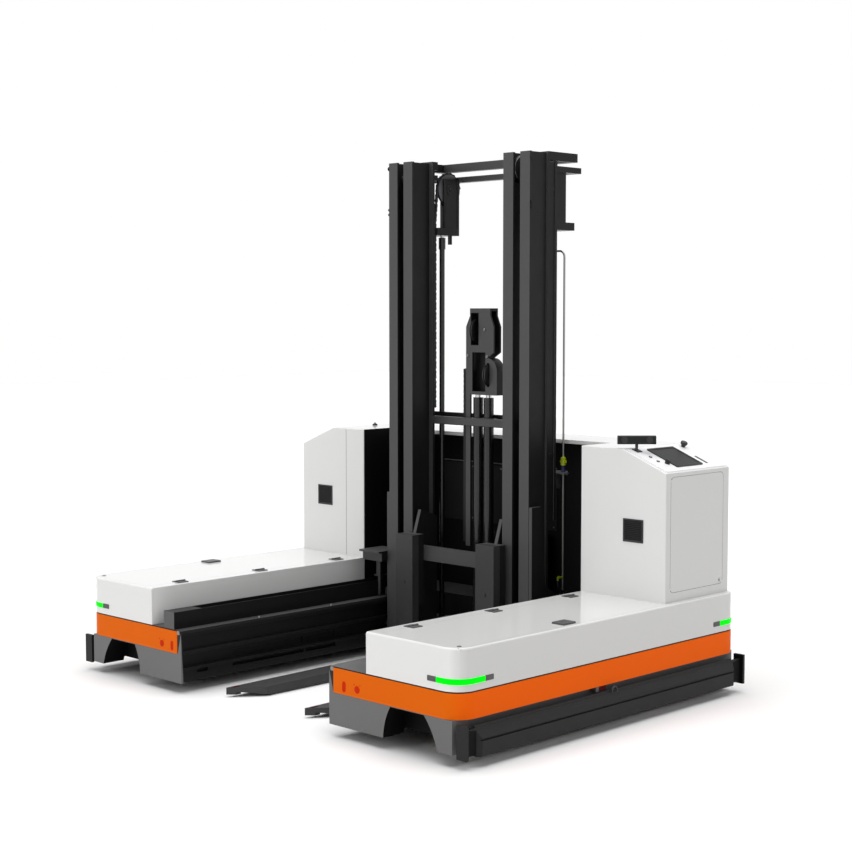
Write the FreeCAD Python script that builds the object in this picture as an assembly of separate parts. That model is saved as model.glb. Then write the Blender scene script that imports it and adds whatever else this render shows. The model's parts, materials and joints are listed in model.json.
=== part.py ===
"""Four-way autonomous fork truck: a U-shaped chassis with a reaching two-stage mast between its legs.

Millimetres, +Z up, floor at Z = 0, centred on X = 0. The forks point to -Y, the closed rear is at +Y.
Each function makes one assembly and returns its nodes as {name: shape}.
"""
import FreeCAD
import Part
import math
import os

Vector = FreeCAD.Vector

# --- chassis plan -----------------------------------------------------------------------------
LEG_OUTER_X = 1279.0      # outer face of the coloured side bands
LEG_INNER_X = 549.0       # bay-side end of the bands
RAIL_TIP_X = 520.0        # bay-side tips of the reach rail flanges
HALF_LENGTH = 960.0       # leg front at -Y, chassis rear at +Y
CORNER_R = 92.0           # plan radius of the outer corners
SEAM = 1.0                # half of the split between left and right body panels

# --- chassis heights --------------------------------------------------------------------------
SKIRT_Z = 52.0            # ground clearance under the skirts
BAND_Z0 = 192.0
BAND_Z1 = 297.0
DECK_Z0 = 289.0
DECK_Z1 = 302.0
DECK_RIM_INSET = 4.0      # deck edge set back from the bands' faces
FRAME_END = 30.0          # side plates end short of the chassis ends
RIB_PITCH = 320.0         # cross ribs, centred on the wheels
COVER_Z1 = 478.0          # top of the leg covers

# --- sheet thicknesses and small clearances ---------------------------------------------------
BAND_T = 6.0
SKIRT_T = 12.0
COVER_T = 4.0
CABINET_T = 4.0
RUN = 0.06                # radial clearance of a running fit
PART_GAP = 0.3            # air between neighbouring bodies
PANEL_GAP = 1.5           # visible gap round lids and doors

# --- skirts and wheel arches ------------------------------------------------------------------
SKIRT_OUTER_X = 1242.0
ARCH_X0 = 850.0
ARCH_X1 = 1161.0
ARCH_TOP_X0 = 892.0
ARCH_TOP_X1 = 1085.0
ARCH_DEPTH = 120.0        # depth of the liner behind the skirt
LINER_T = 5.0

# --- leg covers and their lids ----------------------------------------------------------------
COVER_INNER_X = 749.0
HINGE_X = 809.0           # lid hinge line
HINGE_RISE = 5.0          # hinge line above the cover top
HINGE_LEAF = 29.0         # leaf width each side of the hinge line
HINGE_LENGTH = 56.0
HINGE_Y = (-744.0, -244.0, 280.0)
KNUCKLE_R = 5.0
HINGE_PIN_R = 2.5
LID_OUTER_X = 1250.0
LID_Y0 = -HALF_LENGTH + 30.0
LID_Y1 = 420.0
LID_T = 4.0
LATCH_X = 1212.0
LATCH_Y = -245.0
LATCH_W = 65.0
LATCH_L = 80.0

# --- reach rails ------------------------------------------------------------------------------
RAIL_Z_LOW = 112.0        # under side of the running flange
RAIL_Z_FLANGE = 124.0     # roller track
RAIL_Z_UPPER = 190.0      # under side of the upper flange
RAIL_Z_LIP = 204.0
RAIL_WEB_X = 548.0
RAIL_BACK_X = 560.0
RAIL_FACE_X = 540.0
RAIL_END_Y = 640.0

# --- cabinets ---------------------------------------------------------------------------------
CABINET_Y0 = 428.0
CABINET_Y1 = HALF_LENGTH - 40.0
CABINET_OUTER_X = 1242.0
CABINET_Z1 = 1168.0
SLOPE_X = 991.0           # inner edge of the sloping console top
SLOPE_Z = 1068.0          # height of the slope at the outer side
DOOR_Y0 = 463.0
DOOR_Y1 = CABINET_Y1 - 46.0
DOOR_Z0 = 522.0
DOOR_Z1 = 1050.0
DOOR_T = 4.0
DOOR_R = 25.0
DOOR_PIN_R = 2.0
DOOR_PIN_INSET = 3.5
DOOR_PIN_SEAT = 6.0       # height of frame left round each pivot pin inside the opening
FRAME_W = 18.0            # return frame round the door opening
DOOR_LATCH_R = 8.0
CAM_T = 4.0
CAM_REACH = 34.0          # the latch cam turns down behind the door frame
VENT_X0 = 1001.0
VENT_X1 = 1116.0
VENT_Z0 = 741.0
VENT_Z1 = 848.0
VENT_SLATS = 11
VENT_T = 10.0

# --- console on the sloping top (u runs down the slope from its inner edge, v is Y) -----------
CONSOLE_U0 = 10.0
CONSOLE_U1 = 258.0
CONSOLE_V0 = CABINET_Y0 + 17.0
CONSOLE_V1 = CABINET_Y1 - 15.0
CONSOLE_T = 4.0
SCREEN_U = 134.0
SCREEN_DU = 190.0
SCREEN_DV = 204.0
SCREEN_V = (CONSOLE_V0 + CONSOLE_V1) / 2 - 15.0
SCREEN_V0 = SCREEN_V - SCREEN_DV / 2
STOP_U = 44.0
STOP_V = CONSOLE_V1 - 66.0
STOP_R = 17.0
STOP_TRAVEL = 6.0
KNOB_U = 185.0
KNOB_V = SCREEN_V0 - 20.0
KNOB_R = 12.0
BUTTON_R = 8.0
BUTTON_V = (CONSOLE_V0 + SCREEN_V0) / 2 + 1.5
START_U = 111.0
RESET_U = 158.0
BUTTON_TRAVEL = 3.0

# --- scanner bar ------------------------------------------------------------------------------
SCANNER_X = 1028.0
SCANNER_Y = 488.0
SCANNER_TURN = -45.0      # heading of the bar at rest, in degrees about Z
SCANNER_L = 176.0
SCANNER_W = 32.0
SCANNER_H = 40.0
SCANNER_Z0 = CABINET_Z1 + 19.0
SCANNER_FOOT = 18.0       # half width of the foot plate
STALK_R = 7.0

# --- rear housing -----------------------------------------------------------------------------
HOUSING_Y0 = 650.0
HOUSING_Y1 = HALF_LENGTH - 14.0
TANK_Y1 = HOUSING_Y1 - 26.0
TANK_DEPTH = 140.0
TANK_Y0 = TANK_Y1 - TANK_DEPTH
MOTOR_Y = TANK_Y0 - 55.0
HOUSING_T = 4.0
HOUSING_LIP = 18.0

# --- wheels -----------------------------------------------------------------------------------
WHEEL_R = 115.0
WHEEL_W = 76.0
WHEEL_X = 1005.0
WHEEL_FRONT_Y = -600.0
WHEEL_REAR_Y = 640.0
AXLE_R = 12.0
STEER_PLATE_R = 95.0
STEER_PLATE_T = 14.0
FORK_ARM_T = 12.0
SPIGOT_R = 60.0
MOTOR_R = 68.0
MOTOR_H = 120.0

# --- bumpers ----------------------------------------------------------------------------------
BUMPER_X0 = 1285.0
BUMPER_X1 = 1320.0
BUMPER_Z0 = 45.0
BUMPER_Z1 = 168.0
BUMPER_HALF_L = HALF_LENGTH - 3.0
BUMPER_GROOVE_Z = 108.0   # lower edge of the groove along the outer face
BUMPER_RECESS = 75.0      # set-back core between an end plate and the rail
BUMPER_MITRE = 18.0
BUMPER_PIN_R = 9.0
BUMPER_PIN_Y = (-700.0, 0.0, 700.0)
BUMPER_PIN_Z = 120.0
BUMPER_END_T = 14.0
BUMPER_END_X0 = 1264.0
BUMPER_END_Z0 = 42.0
BUMPER_END_Z1 = 180.0

# --- corner lights ----------------------------------------------------------------------------
LIGHT_Z0 = 321.0
LIGHT_Z1 = 355.0
LIGHT_T = 3.0
LIGHT_X0 = 1150.0
LIGHT_Y0 = -HALF_LENGTH + 161.0
LIGHT_END = 38.0

# --- mast -------------------------------------------------------------------------------------
MAST_Y = 360.0            # front faces of both stages
MAST_TOP = 2556.0
MAST_FOOT = 72.0
OUTER_X0 = 419.0
OUTER_X1 = 481.0
OUTER_DEPTH = 145.0
OUTER_WEB_X0 = 455.0
OUTER_WEB_T = 14.0
INNER_X0 = 311.0
INNER_X1 = 375.0
INNER_DEPTH = 163.0
INNER_WEB_X0 = 338.0
INNER_WEB_T = 12.0
FLANGE_T = 14.0
MID_BEAM_Z0 = 1209.0
MID_BEAM_Z1 = 1273.0
MID_BEAM_Y0 = 596.0
MID_BEAM_Y1 = 628.0
MID_ARM_X0 = 395.0
MID_ARM_X1 = 425.0
CLAMP_WALL = 8.0          # wall of the cylinder clamps on the mid beam
TIE1_Z1 = MAST_TOP + 10.0
TIE1_Z0 = TIE1_Z1 - 42.0
TIE1_ARM_X0 = 418.0
TIE1_ARM_X1 = 458.0
TIE1_Y1 = 740.0
TIE2_Z1 = TIE1_Z0 - 26.0
TIE2_Z0 = TIE2_Z1 - 28.0
TIE2_ARM_X0 = 425.0
TIE2_ARM_X1 = 465.0
TIE2_Y1 = 760.0
TIE_BAR = 40.0
ROLLER_W = 25.0
ROLLER_PIN_R = 18.0
HEAD_ROLLER_X = 352.0
HEAD_ROLLER_W = 22.0
HEAD_ROLLER_DROP = 76.0   # head rollers below the top of the uprights
FOOT_ROLLER_X = 424.0
FOOT_ROLLER_Z = 150.0
POST_X0 = 468.0           # rear post strapped to each outer upright
POST_Y0 = 547.0
POST_Y1 = 561.0
POST_Z0 = 780.0
POST_Z1 = TIE1_Z0 - 6.0
STRAP_Z = (1090.0, 1700.0, MAST_TOP - 176.0)
STRAP_H = 18.0

# --- side lift cylinders and their crossheads -------------------------------------------------
LIFT_X = 345.0
LIFT_Y = 612.0
LIFT_R = 14.0
LIFT_FOOT = 190.0
ROD_R = 9.5
GLAND = 4.0               # gland nut proud of the barrel
GLAND_H = 60.0
BLOCK_Z1 = TIE2_Z0 - 240.0
BLOCK_Z0 = BLOCK_Z1 - 38.0
BLOCK_X0 = 325.0
BLOCK_X1 = 457.0
BLOCK_Y0 = 565.0
BLOCK_Y1 = 720.0
BLOCK_BOLT_Y = 671.0
LIFT_TOP = BLOCK_Z0 - 12.0
STUD_H = 115.0            # threaded stud of the rod above the block
BLOCK_PLATE_Y0 = 588.0    # side plate between the block and the second tie
BLOCK_PLATE_Y1 = 654.0
YOKE_HALF = 15.0
YOKE_T = 7.0
YOKE_RIB = 4.0
YOKE_RIB_W = 9.0
YOKE_Y0 = 617.0
YOKE_Y1 = TIE2_Y1 - TIE_BAR + 1.0
YOKE_Z1 = TIE2_Z1 - 14.0
YOKE_BOSS_R = 25.0
SHEAVE_Y = 658.0
SHEAVE_Z = TIE2_Z0 - 41.0
SHEAVE_R = 80.0
SHEAVE_W = 14.0
SHEAVE_PIN_R = 9.0

# --- free-lift jack ---------------------------------------------------------------------------
JACK_Y = 560.0
JACK_X = 36.0             # half spacing of the twin barrels
JACK_R = 26.0
JACK_FOOT = 150.0
JACK_TOP = 1362.0
JACK_ROD_R = 15.0
JACK_CLAMP_Z = 1250.0
HEAD_Z0 = 1376.0
HEAD_Z1 = 1813.0
HEAD_SHOULDER_Z = 1720.0
HEAD_NECK_Z = 1775.0
HEAD_HALF_TOP = 70.0
HEAD_X0 = -97.0
HEAD_X1 = 93.0
HEAD_DEPTH = 57.0
HEAD_BASE_T = 14.0
HEAD_WINDOW = (-53.0, 37.0, 1393.0, 1591.0)   # x0, x1, z0, z1 of the open window
HEAD_SLOT = (-63.0, -10.0, 1627.0, 1790.0)    # x0, x1, z0, z1 over the upper sheave
HEAD_WEB_T = 7.0
CHEEK_BLOCK_X1 = 115.0    # sheave block on the right of the window
CHEEK_BLOCK_Z1 = 1563.0
CHEEK_BLOCK_R = 66.0
HEAD_Y0 = 533.0
HEAD_T = 10.0
UPPER_SHEAVE_X = -36.0
UPPER_SHEAVE_Z = 1700.0
UPPER_SHEAVE_R = 62.0
LOWER_SHEAVE_Z = 1478.0
LOWER_SHEAVE_X = 56.0
GUIDE_BAR_X1 = -66.0
GUIDE_BAR_Z0 = 600.0
CHAIN_Z1 = 1515.0
CHAIN_PITCH = 25.4
CHAIN_W = 18.0
CHAIN_DEPTH = 18.0

# --- reach frame ------------------------------------------------------------------------------
CHEEK_T = 20.0
CHEEK_Y0 = 362.0
CHEEK_Y1 = 574.0
CHEEK_TOP_Y1 = 428.0
CHEEK_WAIST_Y1 = 462.0
CHEEK_WAIST_Z = 470.0
CHEEK_FLARE_Z = 400.0
CHEEK_Z0 = 64.0
CHEEK_Z1 = 858.0
BASE_Y0 = 600.0
BASE_Y1 = 645.0
BASE_Z0 = 72.0
REACH_ROLLER_Y = (415.0, 535.0)
REACH_PIN_R = 12.0

# --- fork carriage and forks ------------------------------------------------------------------
FORK_X0 = 219.0
FORK_X1 = 339.0
FORK_HEEL_Y = 268.0
FORK_TIP_Y = -835.0
FORK_SHANK_T = 45.0
FORK_SHANK_Z1 = 664.0
FORK_Z0 = 5.0
FORK_Z1 = 54.0
FORK_TIP_Z0 = 30.0
FORK_TIP_Z1 = 45.0
FORK_TAPER_Y = -690.0
FORK_NOSE = 34.0
CARRIAGE_PLATE_Y1 = 350.0
CARRIAGE_X0 = 272.0
CARRIAGE_X1 = 292.0
CARRIAGE_Y1 = 500.0
CARRIAGE_Z0 = 75.0
CARRIAGE_Z1 = 782.0
CARRIAGE_ROLLER_Z = (160.0, 520.0)
CROSS_Z0 = 530.0
CROSS_Z1 = 604.0


# --- helpers ----------------------------------------------------------------------------------
def box(x0, x1, y0, y1, z0, z1):
    """Box between two corners."""
    return Part.makeBox(x1 - x0, y1 - y0, z1 - z0, Vector(x0, y0, z0))


def rod(radius, start, direction, length):
    """Round bar from a start point along a direction."""
    return Part.makeCylinder(radius, length, Vector(*start), Vector(*direction))


def mirrored(shape):
    """The same shape on the other side of X = 0."""
    return shape.mirror(Vector(0, 0, 0), Vector(1, 0, 0))


def both(shape):
    """A shape and its mirror image, as one list of solids."""
    right = solids(shape)
    return right + [mirrored(solid) for solid in right]


def solids(shape):
    """The solids of a shape or of a list of shapes."""
    if isinstance(shape, (list, tuple)):
        return [solid for item in shape for solid in solids(item)]
    return list(shape.Solids)


def join(*shapes):
    """One fused and cleaned solid."""
    first, *rest = shapes
    return first.fuse(list(rest)).removeSplitter()


def cut(shape, *tools):
    """A shape less its cutting tools."""
    return shape.cut(list(tools))


def extrude(points, direction):
    """Closed polygon of 3-D points extruded along a direction."""
    corners = [Vector(*point) for point in points]
    return Part.Face(Part.makePolygon(corners + corners[:1])).extrude(Vector(*direction))


def section_y(points, y0, y1):
    """XZ outline extruded from y0 to y1."""
    return extrude([(x, y0, z) for x, z in points], (0, y1 - y0, 0))


def section_x(points, x0, x1):
    """YZ outline extruded from x0 to x1."""
    return extrude([(x0, y, z) for y, z in points], (x1 - x0, 0, 0))


def round_edges(shape, radius, wanted):
    """Fillet the edges whose centre and direction satisfy a test."""
    edges = [edge for edge in shape.Edges if wanted(edge)]
    return shape.makeFillet(radius, edges) if edges else shape


def chamfer_edges(shape, width, wanted):
    """Chamfer the edges that satisfy a test."""
    return shape.makeChamfer(width, [edge for edge in shape.Edges if wanted(edge)])


def is_vertical(edge):
    """True for a straight edge along Z."""
    ends = [vertex.Point for vertex in edge.Vertexes]
    return len(ends) == 2 and abs(ends[0].x - ends[1].x) + abs(ends[0].y - ends[1].y) < 0.01


def leg_plan(inset, x0, z0, z1, y0=None, y1=None):
    """Right leg block with its two outer corners rounded, every outside face moved in by inset."""
    x1 = LEG_OUTER_X - inset
    y0 = -HALF_LENGTH + inset if y0 is None else y0
    y1 = HALF_LENGTH - inset if y1 is None else y1
    block = box(x0, x1, y0, y1, z0, z1)
    radius = max(CORNER_R - inset, 1.0)
    return round_edges(block, radius, lambda e: is_vertical(e) and e.CenterOfMass.x > x1 - 1.0)


# --- chassis frame ----------------------------------------------------------------------------
def leg_frame():
    """Welded box of one leg: deck, outer side plate, front and rear plates and cross ribs."""
    deck = leg_plan(BAND_T + PART_GAP, RAIL_TIP_X, DECK_Z0, BAND_Z1 + PART_GAP)
    rim = leg_plan(DECK_RIM_INSET, RAIL_TIP_X, BAND_Z1 + PART_GAP, DECK_Z1)
    side_x1 = SKIRT_OUTER_X - SKIRT_T
    end_y = HALF_LENGTH - FRAME_END
    side = box(side_x1 - 12, side_x1, -end_y, end_y, 128, DECK_Z0)
    inner = box(RAIL_BACK_X, RAIL_BACK_X + 10, -end_y, end_y, SKIRT_Z + 8, DECK_Z0)
    places = [WHEEL_FRONT_Y + step * RIB_PITCH for step in (-0.5, 0.5, 1.5, 2.5)]
    places += [WHEEL_REAR_Y + step * RIB_PITCH for step in (-0.5, 0.5)]
    ribs = [box(RAIL_BACK_X + 10, side_x1 - 12, y - 5, y + 5, 200, DECK_Z0) for y in places]
    frame = join(deck, rim, side, inner, *ribs)
    holes = [rod(SPIGOT_R + RUN, (WHEEL_X, y, DECK_Z0 - 1), (0, 0, 1), 20)
             for y in (WHEEL_FRONT_Y, WHEEL_REAR_Y)]
    pins = [rod(BUMPER_PIN_R + 3, (side_x1 - 20, y, BUMPER_PIN_Z), (1, 0, 0), 40) for y in BUMPER_PIN_Y]
    return cut(frame, *holes, *pins)


def rear_frame():
    """Cross members that tie the two legs behind the mast bay."""
    x1 = RAIL_TIP_X + 1
    floor = box(-x1, x1, HOUSING_Y0 + 40, HALF_LENGTH - 14, DECK_Z0, DECK_Z1)
    front = box(-x1, x1, HOUSING_Y0 + 40, HOUSING_Y0 + 52, SKIRT_Z + 8, DECK_Z0)
    back = box(-x1, x1, HALF_LENGTH - 26, HALF_LENGTH - 14, SKIRT_Z + 8, DECK_Z0)
    ribs = [box(x - 5, x + 5, HOUSING_Y0 + 52, HALF_LENGTH - 26, 120, DECK_Z0) for x in (-360, -120, 120, 360)]
    return join(floor, front, back, *ribs)


def chassis_frame():
    """Welded frame: both legs and the rear cross members."""
    leg = leg_frame()
    return join(leg, mirrored(leg), rear_frame())


def reach_rail():
    """Channel rail on the bay side of a leg, with lightening slots above and below the track."""
    outline = [
        (RAIL_TIP_X, DECK_Z0), (RAIL_TIP_X, 274), (RAIL_FACE_X, 274), (RAIL_FACE_X, RAIL_Z_LIP),
        (RAIL_TIP_X, RAIL_Z_LIP), (RAIL_TIP_X, RAIL_Z_UPPER), (RAIL_WEB_X, RAIL_Z_UPPER),
        (RAIL_WEB_X, RAIL_Z_FLANGE), (RAIL_TIP_X, RAIL_Z_FLANGE), (RAIL_TIP_X, RAIL_Z_LOW),
        (RAIL_FACE_X, RAIL_Z_LOW), (RAIL_FACE_X, SKIRT_Z), (RAIL_BACK_X, SKIRT_Z), (RAIL_BACK_X, DECK_Z0),
    ]
    rail = section_y(outline, -HALF_LENGTH + SKIRT_T + 2, RAIL_END_Y)
    spans = [(-637, -185), (-170, 30)]
    upper = [box(RAIL_WEB_X - 1, RAIL_BACK_X - 4, a, b, 132, 168) for a, b in spans]
    lower = [box(RAIL_FACE_X - 1, RAIL_BACK_X - 4, a, b, 88, 106) for a, b in spans + [(-850, -785)]]
    return cut(rail, *upper, *lower)


# --- body panels ------------------------------------------------------------------------------
def side_band():
    """Coloured band: front, rounded corner, side, rear corner and half of the rear."""
    outer = leg_plan(0, LEG_INNER_X, BAND_Z0, BAND_Z1)
    inner = leg_plan(BAND_T, LEG_INNER_X - 1, BAND_Z0 - 1, BAND_Z1 + 1)
    rear = box(SEAM, LEG_INNER_X + 1, HALF_LENGTH - BAND_T, HALF_LENGTH, BAND_Z0, BAND_Z1)
    return join(outer.cut(inner), rear)


def arch_outline(y, grow=0.0):
    """Closed wire of the wheel arch at a given Y."""
    left = Vector(ARCH_X0 - grow, y, SKIRT_Z - 1)
    left_mid = Vector(ARCH_X0 + 14 - grow, y, 130)
    left_top = Vector(ARCH_TOP_X0 - grow, y, BAND_Z0 - 4 + grow)
    right_top = Vector(ARCH_TOP_X1 + grow, y, BAND_Z0 - 4 + grow)
    right_mid = Vector(ARCH_X1 - 26 + grow, y, 118)
    right = Vector(ARCH_X1 + grow, y, SKIRT_Z - 1)
    edges = [
        Part.Arc(left, left_mid, left_top).toShape(),
        Part.LineSegment(left_top, right_top).toShape(),
        Part.Arc(right_top, right_mid, right).toShape(),
        Part.LineSegment(right, left).toShape(),
    ]
    return Part.Wire(edges)


def arch_block(y0, y1, grow=0.0):
    """The arch outline extruded through a span of Y."""
    return Part.Face(arch_outline(y0, grow)).extrude(Vector(0, y1 - y0, 0))


def skirt():
    """Lower grey skirt of one side, with a lined wheel arch in front."""
    front_y = -HALF_LENGTH + 2
    rear_y = HALF_LENGTH - 2
    top = BAND_Z0 - 0.5
    front = box(RAIL_TIP_X, SKIRT_OUTER_X, front_y, front_y + SKIRT_T, SKIRT_Z, top)
    side = box(SKIRT_OUTER_X - SKIRT_T, SKIRT_OUTER_X, front_y, rear_y, SKIRT_Z, top)
    rear = box(SEAM, SKIRT_OUTER_X, rear_y - SKIRT_T, rear_y, SKIRT_Z, top)
    end = box(RAIL_TIP_X, RAIL_BACK_X, front_y, front_y + SKIRT_T, top - 1, DECK_Z0)
    end = cut(end, box(LEG_INNER_X - 2, RAIL_BACK_X + 1, front_y - 1, front_y + 20, top, DECK_Z0 + 1))
    liner = arch_block(front_y, front_y + ARCH_DEPTH, LINER_T)
    liner = liner.common(box(0, 2000, -2000, 0, SKIRT_Z, top))
    body = join(front, side, rear, end, liner)
    body = cut(body, arch_block(front_y - 1, front_y + ARCH_DEPTH + 1))
    pins = [rod(BUMPER_PIN_R + RUN, (SKIRT_OUTER_X - 20, y, BUMPER_PIN_Z), (1, 0, 0), 40) for y in BUMPER_PIN_Y]
    return cut(body, *pins)


def leg_cover():
    """White cover of one leg: side walls, top rim round the lid opening, shelf under the cabinet."""
    z0 = DECK_Z1 + 1
    outer = leg_plan(2, COVER_INNER_X, z0, COVER_Z1)
    outer = round_edges(outer, 10, lambda e: abs(e.CenterOfMass.z - COVER_Z1) < 0.01
                        and (e.CenterOfMass.x > 1150 or e.CenterOfMass.y < -HALF_LENGTH + 60))
    hollow = leg_plan(2 + COVER_T, COVER_INNER_X + COVER_T, z0 - 1, COVER_Z1 - COVER_T)
    opening = box(HINGE_X, LID_OUTER_X, LID_Y0, LID_Y1, COVER_Z1 - 20, COVER_Z1 + 1)
    body = cut(outer, hollow, opening)
    shelf = box(HINGE_X - 40, HINGE_X, LID_Y0 - 20, LID_Y1 + 4, COVER_Z1 - 14, COVER_Z1 - COVER_T)
    ledge = box(LID_OUTER_X - 8, LID_OUTER_X + 8, LID_Y0, LID_Y1, COVER_Z1 - 12, COVER_Z1 - LID_T - PART_GAP)
    return join(body, shelf, ledge)


def lid_knuckle(y0, y1, radius):
    """A stretch of hinge knuckle or pin on the lid's hinge line."""
    return rod(radius, (HINGE_X, y0, COVER_Z1 + HINGE_RISE), (0, 1, 0), y1 - y0)


def lid_hinges():
    """Fixed leaf, middle knuckle and pin of each lid hinge."""
    made = []
    for y in HINGE_Y:
        half = HINGE_LENGTH / 2
        leaf = box(HINGE_X - HINGE_LEAF, HINGE_X - KNUCKLE_R - 1, y - half, y + half, COVER_Z1, COVER_Z1 + 4)
        neck = box(HINGE_X - KNUCKLE_R - 2, HINGE_X, y - 9, y + 9, COVER_Z1, COVER_Z1 + HINGE_RISE)
        pin = lid_knuckle(y - half, y + half, HINGE_PIN_R)
        made.append(join(leaf, neck, lid_knuckle(y - 9, y + 9, KNUCKLE_R), pin))
    return both(made)


def leg_lid():
    """Lid panel with its stiffening ribs, moving hinge leaves and latch pad."""
    gap = PANEL_GAP
    x0 = HINGE_X + gap
    x1 = LID_OUTER_X - gap
    panel = box(x0, x1, LID_Y0 + gap, LID_Y1 - gap, COVER_Z1 - LID_T, COVER_Z1)
    ribs = [box(x0 + 30, x1 - 30, y - 6, y + 6, COVER_Z1 - 20, COVER_Z1 - LID_T) for y in (-600, -255, 90)]
    leaves = []
    for y in HINGE_Y:
        half = HINGE_LENGTH / 2
        leaf = box(HINGE_X + 6, HINGE_X + HINGE_LEAF, y - half, y + half, COVER_Z1, COVER_Z1 + 4)
        leaves.append(leaf)
        for a, b in ((y - half, y - 10), (y + 10, y + half)):
            neck = box(HINGE_X + 1, HINGE_X + 7, a, b, COVER_Z1 + 0.5, COVER_Z1 + 4)
            knuckle = join(lid_knuckle(a, b, KNUCKLE_R), neck)
            leaves.append(cut(knuckle, lid_knuckle(a - 1, b + 1, HINGE_PIN_R + RUN)))
    latch = box(LATCH_X - LATCH_W / 2, LATCH_X + LATCH_W / 2, LATCH_Y - LATCH_L / 2, LATCH_Y + LATCH_L / 2,
                COVER_Z1, COVER_Z1 + 8)
    return join(panel, *ribs, *leaves, latch)


# --- cabinets ---------------------------------------------------------------------------------
def cabinet_outline(inset):
    """Front outline of a cabinet as XZ points, moved in by inset."""
    slope = math.atan2(CABINET_Z1 - SLOPE_Z, CABINET_OUTER_X - SLOPE_X)
    shift = inset * math.tan(slope / 2)
    outer_z = SLOPE_Z - inset * math.tan((math.pi / 2 - slope) / 2)
    return [
        (COVER_INNER_X + inset, COVER_Z1), (COVER_INNER_X + inset, CABINET_Z1 - inset),
        (SLOPE_X - shift, CABINET_Z1 - inset), (CABINET_OUTER_X - inset, outer_z),
        (CABINET_OUTER_X - inset, COVER_Z1),
    ]


def cabinet_shell():
    """Sheet-metal shell of a cabinet, open below and towards the rear wall."""
    outer = section_y(cabinet_outline(0), CABINET_Y0, CABINET_Y1)
    outer = round_edges(outer, 5, lambda e: e.CenterOfMass.z > COVER_Z1 + 1 and (
        e.CenterOfMass.y < CABINET_Y0 + 0.01 or e.CenterOfMass.x > CABINET_OUTER_X - 1))
    inner = section_y(cabinet_outline(CABINET_T), CABINET_Y0 + CABINET_T, CABINET_Y1 - CABINET_T)
    vent = box(VENT_X0 + 5, VENT_X1 - 5, CABINET_Y0 - 1, CABINET_Y0 + CABINET_T + 1, VENT_Z0 + 5, VENT_Z1 - 5)
    return cut(outer, inner.translated(Vector(0, 0, -1)), inner, vent)


def door_plate(x0, x1, gap):
    """Rounded plate of the door opening, less a gap all round."""
    plate = box(x0, x1, DOOR_Y0 + gap, DOOR_Y1 - gap, DOOR_Z0 + gap, DOOR_Z1 - gap)
    return round_edges(plate, DOOR_R - gap, lambda e: abs(e.Vertexes[0].X - e.Vertexes[-1].X) > 1)


def door_pins(radius):
    """Upper and lower pivot pins of the door."""
    place = (CABINET_OUTER_X - DOOR_T / 2, DOOR_Y0 + DOOR_PIN_INSET)
    low = rod(radius, (*place, DOOR_Z0 - 8), (0, 0, 1), 40)
    high = rod(radius, (*place, DOOR_Z1 - 32), (0, 0, 1), 40)
    return [low, high]


def door_swing_relief():
    """Round scoop in the frame that the door's hinge edge swings through."""
    swing = DOOR_PIN_INSET + PART_GAP
    x, y = CABINET_OUTER_X - DOOR_T / 2, DOOR_Y0 + DOOR_PIN_INSET
    return rod(swing, (x, y, DOOR_Z0 + DOOR_PIN_SEAT), (0, 0, 1), DOOR_Z1 - DOOR_Z0 - 2 * DOOR_PIN_SEAT)


def console_tool(height):
    """Block over the console area of the slope, for cutting the shell."""
    return slope_box(CONSOLE_U0 + 14, CONSOLE_U1 - 14, CONSOLE_V0 + 14, CONSOLE_V1 - 14, -height, height)


def cabinet_right():
    """Cabinet with a framed door opening and a cut-out under the console."""
    shell = cabinet_shell()
    ring = box(CABINET_OUTER_X - FRAME_W, CABINET_OUTER_X - 1, DOOR_Y0 - FRAME_W, DOOR_Y1 + FRAME_W,
               DOOR_Z0 - FRAME_W, DOOR_Z1 + FRAME_W - 12)
    ring = ring.common(section_y(cabinet_outline(1), CABINET_Y0, CABINET_Y1))
    body = join(shell, ring)
    body = cut(body, door_plate(CABINET_OUTER_X - 2 * FRAME_W, CABINET_OUTER_X + 1, 0), console_tool(12))
    return cut(body, *door_pins(DOOR_PIN_R + RUN), door_swing_relief())


def cabinet_door():
    """Door plate with its pivot pins, stiffener and latch hole."""
    plate = door_plate(CABINET_OUTER_X - DOOR_T, CABINET_OUTER_X, PANEL_GAP)
    edge = box(CABINET_OUTER_X - 14, CABINET_OUTER_X - DOOR_T, 520, 820, DOOR_Z0 + 60, DOOR_Z0 + 66)
    top_edge = edge.translated(Vector(0, 0, DOOR_Z1 - DOOR_Z0 - 126))
    door = join(plate, edge, top_edge, *door_pins(DOOR_PIN_R))
    return cut(door, latch_bar(DOOR_LATCH_R + RUN, CABINET_OUTER_X - 10, CABINET_OUTER_X + 1))


def latch_bar(radius, x0, x1):
    """Cylinder on the door latch's axis."""
    return rod(radius, (x0, DOOR_Y1 - 18, DOOR_Z0 + 18), (1, 0, 0), x1 - x0)


def door_latch():
    """Quarter-turn latch: slotted head, barrel and cam behind the door."""
    y, z = DOOR_Y1 - 18, DOOR_Z0 + 18
    back = CABINET_OUTER_X - FRAME_W - PART_GAP
    head = latch_bar(DOOR_LATCH_R + 3, CABINET_OUTER_X + PART_GAP, CABINET_OUTER_X + 3)
    barrel = latch_bar(DOOR_LATCH_R, back - CAM_T, CABINET_OUTER_X + 1)
    cam = box(back - CAM_T, back, y - CAM_REACH, y + 6, z - 6, z + 6)
    slot = box(CABINET_OUTER_X + 1.5, CABINET_OUTER_X + 4, y - 8, y + 8, z - 1.2, z + 1.2)
    return cut(join(head, barrel, cam), slot)


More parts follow.
